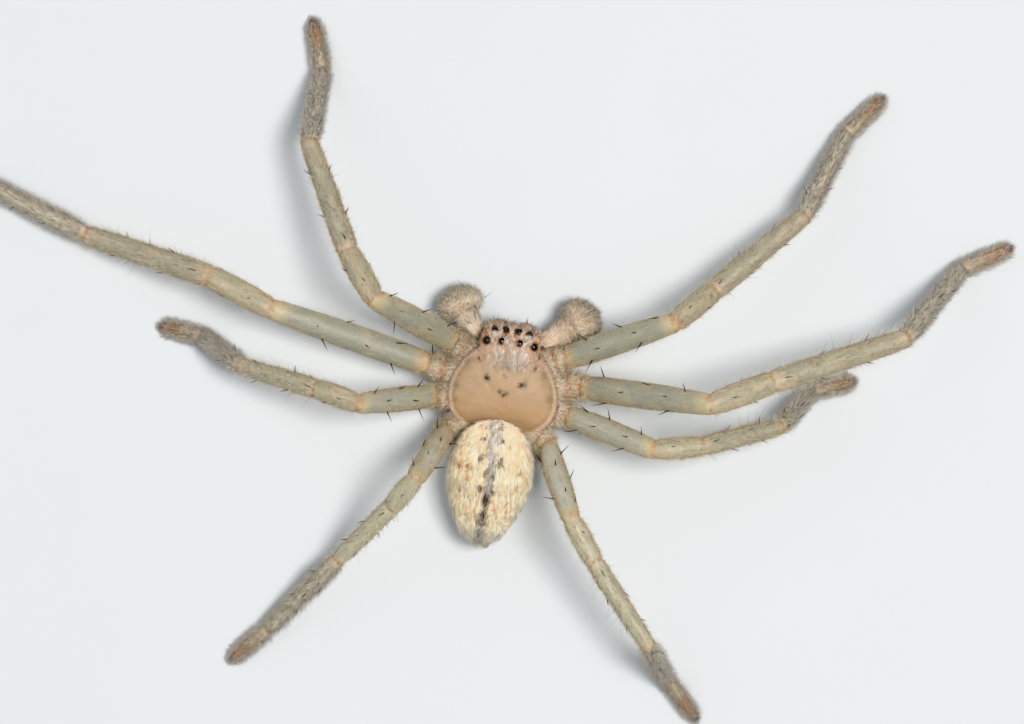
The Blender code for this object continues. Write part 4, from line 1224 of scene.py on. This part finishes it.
        colour = laid(colour, tone(116, 104, 90), 0.45 * (1.0 - 0.6 * pale) * foot * fade(streak + 0.5 * thread, 0.3, 1.3))
        colour = laid(colour, tone(196, 182, 160), 0.35 * foot * fade(-streak, 0.2, 1.1))
        colour = laid(colour, tone(178, 168, 142), 0.18 * femur * fade(streak, 0.4, 1.2))
        colour = laid(colour, tone(118, 118, 100), 0.30 * femur * fade(thread, 0.5, 1.3))
        colour = laid(colour, tone(176, 164, 130), 0.60 * femur * fade(share, 0.85, 0.96)[:, None])
        colour = laid(colour, tone(182, 156, 116), 0.60 * femur * fade(share, 0.14, 0.03)[:, None])
        nearest = segment + (share > 0.5)
        strength = np.array(self.joint_strength)[nearest][:, None]
        joint = np.exp(-(gap / 0.26) ** 2)[:, None] * np.ones_like(facing)
        colour = laid(colour, tone(172, 138, 100), 0.7 * strength * joint * fade(wave, -1.4, -0.2))
        line = np.exp(-((gap - 0.13) / 0.07) ** 2)[:, None] * fade(mottle(places, 0.7, 50 + self.pair), -0.2, 0.6)
        colour = laid(colour, tone(124, 76, 46), strength * line)
        coxa = (segment == 0)[:, None] * 1.0
        rim = np.exp(-((share - 0.71) / 0.030) ** 2)[:, None] + np.exp(-((share - 0.96) / 0.03) ** 2)[:, None]
        colour = laid(colour, tone(182, 110, 60), 0.60 * coxa * np.minimum(rim, 1.0) * fade(streak, -0.5, 0.4))
        colour = laid(colour, tone(196, 180, 156), 0.45 * coxa * fade(-wave, -0.3, 0.8))
        tip = (segment == 5)[:, None] * fade(share, 0.30, 0.60)[:, None] * fade(facing + 0.15 * streak, 0.45, 0.85)
        colour = laid(colour, tone(128, 88, 58), 0.75 * tip)
        end = (segment == 5)[:, None] * fade(share, 0.86, 0.94)[:, None] + 0.0 * facing
        colour = laid(colour, tone(160, 138, 130), 0.70 * end)
        under = fade(facing, -0.35, -0.8)
        colour = laid(colour, tone(198, 180, 146), 0.5 * under * (segment < 4)[:, None])
        return laid(colour, tone(116, 106, 98), 0.50 * under * (segment >= 4)[:, None])

    def build(self) -> None:
        """Writes the skin, the coat, the spines and the claws."""
        draw = np.random.default_rng(SEED + 10 * self.pair + (self.hand == "left"))
        skin, segment, share, gap = self.chain().skin()
        paint = self.paint(skin, segment, share, gap)
        name = f"leg_{self.pair}_{self.hand}"
        parts = ("femur", "patella", "tibia", "metatarsus", "tarsus")
        skin.form(paint).publish(f"{name}_skin", LEG_CUTICLE, "leg", tuple(f"{name}_{part}" for part in parts))
        self.coat(draw, skin, segment, share, paint).publish(f"{name}_coat", HAIR, "leg")
        self.spines(draw, skin, segment, share).publish(f"{name}_spines", SPINE, "leg_end")
        self.claws().publish(f"{name}_claws", HORN, "leg_end")

    def coat(
        self, draw: np.random.Generator, skin: Skin, segment: np.ndarray, share: np.ndarray, paint: np.ndarray
    ) -> Form:
        """All soft hair of a leg: sparse on the femur, thick and grey on the last two segments."""
        facing = skin.normals[..., 2]
        ones = np.ones_like(facing)
        part = [(segment == index)[:, None] * ones for index in range(6)]
        forms = []

        def grow(kind: Hair, count: int, density: np.ndarray, tint: np.ndarray, cover: float,
                 lie: np.ndarray | None = None) -> None:
            """Adds one kind of hair, tinted over the skin's own paint."""
            roots = skin.scatter(draw, count, density)
            colours = laid(roots.read(paint), tint, np.full(count, cover))
            forms.append(kind.grow(draw, roots, colours, None if lie is None else roots.read(lie)))

        side = 1.0 - np.abs(facing)
        top = fade(facing, -0.1, 0.5)
        fore = 0.45 * part[1] + part[2] + 1.3 * part[3]
        foot = (0.5 + 0.5 * fade(share, 0.0, 0.3)[:, None]) * part[4] + 1.1 * part[5]
        grow(Hair(0.40, 0.032, lift=15.0, shade_spread=0.2), 3800, fore, tone(208, 196, 166), 0.55)
        grow(Hair(0.30, 0.032, lift=15.0, tip_light=1.0), 1700, (0.4 * part[1] + part[2] + 1.4 * part[3]) * top,
             tone(98, 86, 70), 0.62)
        grow(Hair(0.40, 0.024, lift=42.0, unruly=20.0, length_spread=0.4), 2000,
             (0.35 * part[1] + part[2] + part[3]) * side, tone(212, 204, 184), 0.75)
        grow(Hair(0.50, 0.034, lift=18.0, unruly=12.0, shade_spread=0.22), 4200, foot, tone(216, 208, 192), 0.5)
        grow(Hair(0.46, 0.036, lift=14.0, unruly=9.0, tip_light=1.0), 1300, (part[4] + 0.8 * part[5]) * top,
             tone(78, 68, 60), 0.72)
        halo = (0.55 + 0.45 * fade(share, 0.0, 0.25)[:, None]) * part[4] + 1.35 * part[5]
        grow(Hair(0.58, 0.026, lift=46.0, unruly=20.0, bend=0.2, length_spread=0.45), 4000, halo * side ** 1.2,
             tone(200, 194, 184), 0.82)
        grow(Hair(0.44, 0.028, lift=46.0, unruly=26.0, length_spread=0.4), 2000,
             (part[4] * 0.9 + 1.7 * part[5]) * fade(facing, 0.0, -0.5), tone(182, 174, 164), 0.82)
        wisp = Hair(0.90, 0.024, lift=50.0, bend=0.35, knots=(0.0, 0.5))
        grow(wisp, 380, (part[3] + 0.5 * part[2] + 0.15 * part[1]) * side ** 2, tone(214, 208, 192), 0.8)
        grow(Hair(0.75, 0.024, lift=46.0, bend=0.3, knots=(0.0, 0.5)), 260,
             (part[4] + 1.2 * part[5]) * side ** 2, tone(170, 166, 162), 0.7)
        grow(Hair(1.60, 0.030, lift=72.0, unruly=25.0, bend=0.25, tip_light=1.0, knots=(0.0, 0.35, 0.7)), 12,
             part[3] * fade(facing, 0.1, 0.4) * fade(share, 0.80, 0.6)[:, None], tone(132, 128, 122), 0.85)
        out = fade(share, 0.40, 0.58)[:, None] * part[0] + 0.5 * part[1] * fade(share, 0.06, 0.0)[:, None]
        grow(Hair(0.52, 0.034, lift=26.0, unruly=34.0, shade_spread=0.16), 520, out * fade(facing, -0.5, 0.2),
             tone(236, 226, 208), 0.8)
        grow(Hair(0.62, 0.034, lift=56.0, unruly=34.0, shade_spread=0.20), 700, out * side, tone(190, 174, 148), 0.8)
        grow(Hair(0.38, 0.026, lift=22.0, unruly=20.0), 1300, part[0] + 0.6 * part[1] * fade(share, 0.12, 0.0)[:, None],
             tone(196, 174, 144), 0.6)
        grow(Hair(0.40, 0.026, lift=30.0, tip_light=1.0), 260, part[0] * fade(facing, 0.0, -0.5), tone(104, 80, 60), 0.8)
        bright = (np.exp(-((share - 0.72) / 0.03) ** 2) + fade(share, 0.93, 0.97))[:, None] * part[0]
        grow(Hair(0.30, 0.038, lift=30.0, unruly=30.0), 200, bright * fade(facing, -0.2, 0.3), tone(190, 118, 66), 0.78)
        brush = part[5] * fade(share, 0.84, 0.97)[:, None]
        ahead = skin.lie * (1.0, 1.0, 0.4)
        grow(Hair(0.40, 0.026, lift=20.0, unruly=24.0), 420, brush, tone(150, 140, 134), 0.75, ahead)
        return Form.joined(forms)

    def spines(self, draw: np.random.Generator, skin: Skin, segment: np.ndarray, share: np.ndarray) -> Form:
        """Dark spines: (segment, share along it, angle round it, length), tilted outwards.

        The angle is 90 on top and 0 or 180 on the two flanks; left legs mirror the right ones.
        """
        pattern = (
            (1, 0.23, 26, 1.10), (1, 0.21, 150, 1.10), (1, 0.39, 88, 0.50), (1, 0.54, 152, 0.90),
            (1, 0.69, 28, 1.05), (1, 0.72, 96, 0.45), (1, 0.86, 146, 0.75),
            (2, 0.30, 90, 0.45), (2, 0.62, 24, 0.50), (3, 0.06, 96, 0.70), (3, 0.20, 238, 1.30), (3, 0.20, 302, 1.30),
            (3, 0.52, 238, 1.30), (3, 0.52, 302, 1.25), (3, 0.34, 12, 0.80), (3, 0.34, 168, 0.80),
            (3, 0.70, 14, 0.70), (3, 0.70, 166, 0.70), (4, 0.10, 236, 1.25), (4, 0.10, 304, 1.25),
            (4, 0.42, 240, 1.10), (4, 0.42, 300, 1.10), (4, 0.20, 150, 0.85), (4, 0.44, 78, 0.75),
            (4, 0.56, 150, 0.75), (4, 0.30, 24, 0.85), (4, 0.62, 30, 0.70),
        )
        shape = {"sides": 6, "knots": (0.0, 0.2, 0.5, 0.8), "sunk": 0.05, "shade_spread": 0.1, "tip_light": 1.0}
        erect = Hair(1.05, 0.10, lift=52.0, unruly=14.0, bend=0.22, length_spread=0.12, **shape)
        leaning = Hair(1.0, 0.085, lift=40.0, unruly=10.0, bend=0.4, length_spread=0.12, **shape)
        forms = []
        for kind, parts, way in ((erect, (0, 1), -1.0), (leaning, (2, 3, 4), 1.0)):
            rows, columns, sizes = [], [], []
            for part, where, angle, length in (spot for spot in pattern if spot[0] in parts):
                ring = np.flatnonzero(segment == part)
                rows.append(ring[np.argmin(np.abs(share[ring] - where - draw.normal(0.0, 0.025)))])
                turned = (angle if self.hand == "right" else 180.0 - angle) + draw.normal(0.0, 6.0)
                columns.append(int(round(turned / 360.0 * skin.rings.shape[1])) % skin.rings.shape[1])
                sizes.append(length)
            count = len(rows)
            half = np.full(count, 0.5)
            roots = Roots(skin, np.minimum(np.array(rows), len(segment) - 2), np.array(columns), half, half)
            ink = np.tile(tone(34, 26, 22), (count, 1))
            forms.append(kind.grow(draw, roots, ink, roots.read(skin.lie) * way, np.array(sizes)))
        return Form.joined(forms)

    def claws(self) -> Form:
        """Two small hooked claws at the tip of the leg."""
        joints = self.joints()
        along = unit(joints[-1] - joints[-2])
        across = unit(np.cross(along, UP))
        forms = []
        for way in (-1.0, 1.0):
            base = joints[-1] - along * 0.10 + across * 0.09 * way
            path = np.array((base, base + along * 0.22 + UP * 0.04, base + along * 0.36 - UP * 0.05,
                             base + along * 0.38 - UP * 0.17))
            path[:, 2] = np.maximum(path[:, 2], 0.035)
            hook = bent_tube(path, np.array((0.055, 0.045, 0.030, 0.012)), 20, 10)
            forms.append(hook.form(np.broadcast_to(tone(52, 30, 20), hook.rings.shape)))
        return Form.joined(forms)


@dataclass
class Palp:
    """One palp: trochanter to tibia, and the swollen tarsus of a male, with its bristles."""

    hand: str
    joints: dict[str, tuple[tuple[float, ...], ...]] = field(default_factory=lambda: {
        "right": ((1.30, 3.28, 2.20), (2.02, 3.84, 2.30), (2.84, 4.44, 2.80), (3.66, 5.00, 2.08), (5.70, 6.74, 1.48)),
        "left": ((1.30, 3.28, 2.20), (2.02, 3.84, 2.30), (2.72, 4.40, 2.72), (3.48, 5.06, 2.12), (4.70, 6.95, 1.48))})
    profiles: tuple[Curve, ...] = (
        Curve(((0.0, 0.30), (0.5, 0.42), (1.0, 0.38))),
        Curve(((0.0, 0.38), (0.3, 0.43), (0.75, 0.50), (1.0, 0.52))),
        Curve(((0.0, 0.58), (0.35, 0.76), (1.0, 0.98))),
        Curve(((0.0, 0.98), (0.10, 1.14), (0.26, 1.50), (0.46, 1.66), (0.66, 1.58), (0.84, 1.20), (0.95, 0.72),
               (1.0, 0.16))),
    )
    tip_insets: dict[str, float] = field(default_factory=lambda: {"left": 0.42, "right": 0.20})
    ridge_rise: float = 0.16
    # Painted light: the left palp's hair is painted brighter by this factor to make up for the shade it lies in, away
    # from the key lamp on the right.
    painted_brightening: dict[str, float] = field(default_factory=lambda: {"left": 1.14, "right": 1.0})
    organ_path: tuple[tuple[float, float], ...] = ((0.24, 0.52), (0.50, 0.62), (0.76, 0.42))
    organ_radii: tuple[float, ...] = (0.62, 0.76, 0.56)

    def build(self) -> None:
        """Writes the skin, the coat and the bristles."""
        draw = np.random.default_rng(SEED + 3 + (self.hand == "left"))
        joints = np.array([mirrored(place, self.hand) for place in self.joints[self.hand]])
        joints[-1] -= unit(joints[-1] - joints[-2]) * self.tip_insets[self.hand]
        chain = Chain(joints, list(self.profiles), depths=(0.04, 0.05, 0.08, 0.20), spacing=0.06, around=72,
                      flatness=(1.0, 1.0, 0.9, 0.8, 0.8), groove=0.08, groove_width=0.14)
        skin, segment, share, gap = chain.skin()
        nodes = (f"pedipalp_{self.hand}_femur", f"pedipalp_{self.hand}_tarsus")
        facing = skin.normals[..., 2]
        crest = fade(facing, 0.75, 0.98) * ((segment == 3) * fade(share, 0.65, 0.2))[:, None]
        skin.rings[..., 2] += self.ridge_rise * crest
        wave = mottle(skin.rings, 0.8, 60)
        colour = np.broadcast_to(tone(196, 172, 142), skin.rings.shape)
        bulb = (fade(share, -0.05, 0.25) * (segment == 3) + 0.0)[:, None]
        colour = laid(colour, tone(182, 168, 146), bulb * fade(wave, -1.0, 0.8))
        colour = laid(colour, tone(140, 136, 124), 0.8 * bulb * fade(facing, 0.80, 0.35))
        ridge = fade(facing + 0.06 * wave, 0.66, 0.94) * (segment >= 2)[:, None]
        ridge = ridge * (1.0 - (segment == 3) * fade(share, 0.35, 0.75))[:, None]
        colour = laid(colour, tone(218, 190, 164), 0.8 * ridge)
        colour = laid(colour, tone(176, 130, 92), 0.4 * np.exp(-(gap / 0.2) ** 2)[:, None] * (segment < 3)[:, None])
        colour = laid(colour, tone(206, 184, 150), 0.5 * fade(facing, -0.2, -0.7))
        skin.form(colour).publish(f"palp_{self.hand}_skin", PALP_SKIN, "palp", nodes)
        forms = []

        def grow(kind: Hair, count: int, density: np.ndarray, tint: np.ndarray, cover: float) -> None:
            """Adds one kind of hair, tinted over the skin's own paint, and brightened on the left palp as painted
            light.
            """
            roots = skin.scatter(draw, count, density)
            # Times the painted brightening, which lightens the left palp's hair as painted light.
            tints = laid(roots.read(colour), tint, np.full(count, cover)) * self.painted_brightening[self.hand]
            forms.append(kind.grow(draw, roots, tints))

        arm = (segment == 2)[:, None] + 0.8 * (segment == 1)[:, None] + 0.0 * facing
        full = bulb + 0.0 * facing
        top = fade(facing, 0.2, 0.7)
        crown = full * top * fade(share, 0.75, 0.35)[:, None]
        grow(Hair(0.44, 0.034, lift=28.0, unruly=20.0, shade_spread=0.18), 5200, arm, tone(246, 226, 208), 0.7)
        grow(Hair(0.34, 0.030, lift=20.0, tip_light=1.0), 700, arm, tone(160, 116, 88), 0.6)
        grow(Hair(0.42, 0.034, lift=24.0, unruly=22.0, shade_spread=0.2), 1300, crown, tone(240, 224, 206), 0.75)
        grow(Hair(0.36, 0.036, lift=58.0, unruly=40.0, shade_spread=0.3), 8600, full, tone(212, 198, 178), 0.7)
        halo = Hair(0.58, 0.030, lift=55.0, unruly=24.0, bend=0.2, length_spread=0.45, shade_spread=0.2)
        grow(halo, 3000, full * (1.0 - 0.85 * top), tone(178, 173, 162), 0.8)
        grow(Hair(0.38, 0.036, lift=56.0, unruly=40.0, tip_light=1.0), 2300, full * (0.5 + top) + 0.15 * arm,
             tone(116, 96, 76), 0.75)
        wisp = Hair(0.95, 0.028, lift=52.0, unruly=24.0, bend=0.3, knots=(0.0, 0.5))
        grow(wisp, 150, full + arm, tone(190, 182, 170), 0.8)
        Form.joined(forms).publish(f"palp_{self.hand}_coat", HAIR, "palp")
        bristle = Hair(1.20, 0.055, lift=34.0, unruly=30.0, bend=0.15, tip_light=1.0, sides=5, knots=(0.0, 0.3, 0.65))
        roots = skin.scatter(draw, 10, (full + 2.5 * arm) * fade(facing, -0.1, 0.4))
        dark = bristle.grow(draw, roots, np.tile(DARK, (10, 1)))
        dark.publish(f"palp_{self.hand}_bristles", SPINE, "palp")
        self.organ(joints).publish(f"palp_{self.hand}_organ", JAW, "palp")

    def organ(self, joints: np.ndarray) -> Form:
        """The brown shell that a male carries under the bulb, with the dark thread coiled on it."""
        wrist, tip = joints[-2], joints[-1]
        across = unit(np.cross(tip - wrist, UP))
        path = np.array([wrist + (tip - wrist) * share - UP * drop for share, drop in self.organ_path])
        shell = bent_tube(path, np.array(self.organ_radii), 40, 32)
        swing = np.linspace(-0.3, 4.6, 9)[:, None]
        middle = path[1] - UP * (self.organ_radii[1] * 0.86)
        coil = middle + (0.34 + 0.05 * swing) * (np.cos(swing) * across + np.sin(swing) * unit(tip - wrist))
        coil = coil + UP * 0.10 * (swing - 1.0) ** 2 / 4.0
        thread = bent_tube(coil, np.full(len(coil), 0.045), 60, 10)
        return Form.joined([
            shell.form(np.broadcast_to(tone(146, 92, 54), shell.rings.shape)),
            thread.form(np.broadcast_to(tone(64, 34, 20), thread.rings.shape)),
        ])


@dataclass
class Studio:
    """A plain pale floor, soft lamps and the camera above the spider."""

    camera_place: tuple[float, float, float] = (0.292, 2.308, 304.5)
    lens: float = 150.67
    image_turn: float = math.radians(8.5)
    floor_half: float = 0.6

    def floor(self) -> None:
        """Lays the floor under the feet."""
        half = self.floor_half
        corners = ((-half, -half, 0.0), (half, -half, 0.0), (half, half, 0.0), (-half, half, 0.0))
        mesh = bpy.data.meshes.new("floor")
        mesh.from_pydata(corners, [], [(0, 1, 2, 3)])
        recipe = Recipe("floor_paper")
        cloud = recipe.noise(9.0)
        plain = recipe.node("ShaderNodeRGB", {}, {})
        plain.socket.default_value = (0.56, 0.58, 0.59, 1.0)
        recipe.feed(recipe.shader.inputs["Base Color"], recipe.lit(plain, cloud * 0.04 + 0.98))
        recipe.shader.inputs["Roughness"].default_value = 0.85
        mesh.materials.append(recipe.material)
        floor = bpy.data.objects.new("floor", mesh)
        bpy.context.scene.collection.objects.link(floor)

    def lamp(self, name: str, place: tuple[float, ...], size: float, watts: float, colour: tuple[float, ...]) -> None:
        """Hangs a square soft lamp that points at the spider."""
        light = bpy.data.lights.new(name, "AREA")
        light.size = size
        light.energy = watts
        light.color = colour
        holder = bpy.data.objects.new(name, light)
        holder.location = to_frame(np.array(place))
        holder.rotation_euler = (Vector(SHIFT) - holder.location).to_track_quat("-Z", "Y").to_euler()
        bpy.context.scene.collection.objects.link(holder)

    def build(self) -> None:
        """Sets up floor, lamps, surroundings and camera."""
        self.floor()
        self.lamp("key_lamp", (100.0, 20.0, 350.0), 0.12, 1.58, (1.0, 0.98, 0.95))
        self.lamp("fill_lamp", (-300.0, 120.0, 260.0), 0.40, 0.75, (0.96, 0.98, 1.0))
        self.lamp("back_lamp", (-60.0, -280.0, 240.0), 0.30, 0.22, (1.0, 0.98, 0.95))
        world = bpy.data.worlds.new("soft_room")
        world.use_nodes = True
        sky = world.node_tree.nodes["Background"]
        sky.inputs["Color"].default_value = (0.92, 0.95, 1.0, 1.0)
        sky.inputs["Strength"].default_value = 0.36
        bpy.context.scene.world = world
        bpy.context.scene.view_settings.view_transform = "Khronos PBR Neutral"
        camera_data = bpy.data.cameras.new("camera")
        camera_data.lens = self.lens
        camera_data.sensor_width = 36.0
        camera_data.clip_start = 0.01
        camera_data.clip_end = 10.0
        camera = bpy.data.objects.new("camera", camera_data)
        right = (-math.cos(self.image_turn), -math.sin(self.image_turn), 0.0)
        up = (math.sin(self.image_turn), -math.cos(self.image_turn), 0.0)
        turn = Matrix((right, up, (0.0, 0.0, 1.0))).transposed().to_4x4()
        camera.matrix_world = Matrix.Translation(to_frame(np.array(self.camera_place))) @ turn
        bpy.context.scene.collection.objects.link(camera)
        bpy.context.scene.camera = camera


def main() -> None:
    """Builds the spider from the body outwards, then the room."""
    logging.basicConfig(level=logging.INFO, format="%(message)s")
    prosoma = Prosoma()
    prosoma.build()
    Eyes(prosoma).build()
    Jaws().build()
    Abdomen().build()
    for hand in HANDS:
        Palp(hand).build()
        for pair in (1, 2, 3, 4):
            Leg(pair, hand).build()
    Studio().build()


if __name__ == "__main__":
    main()
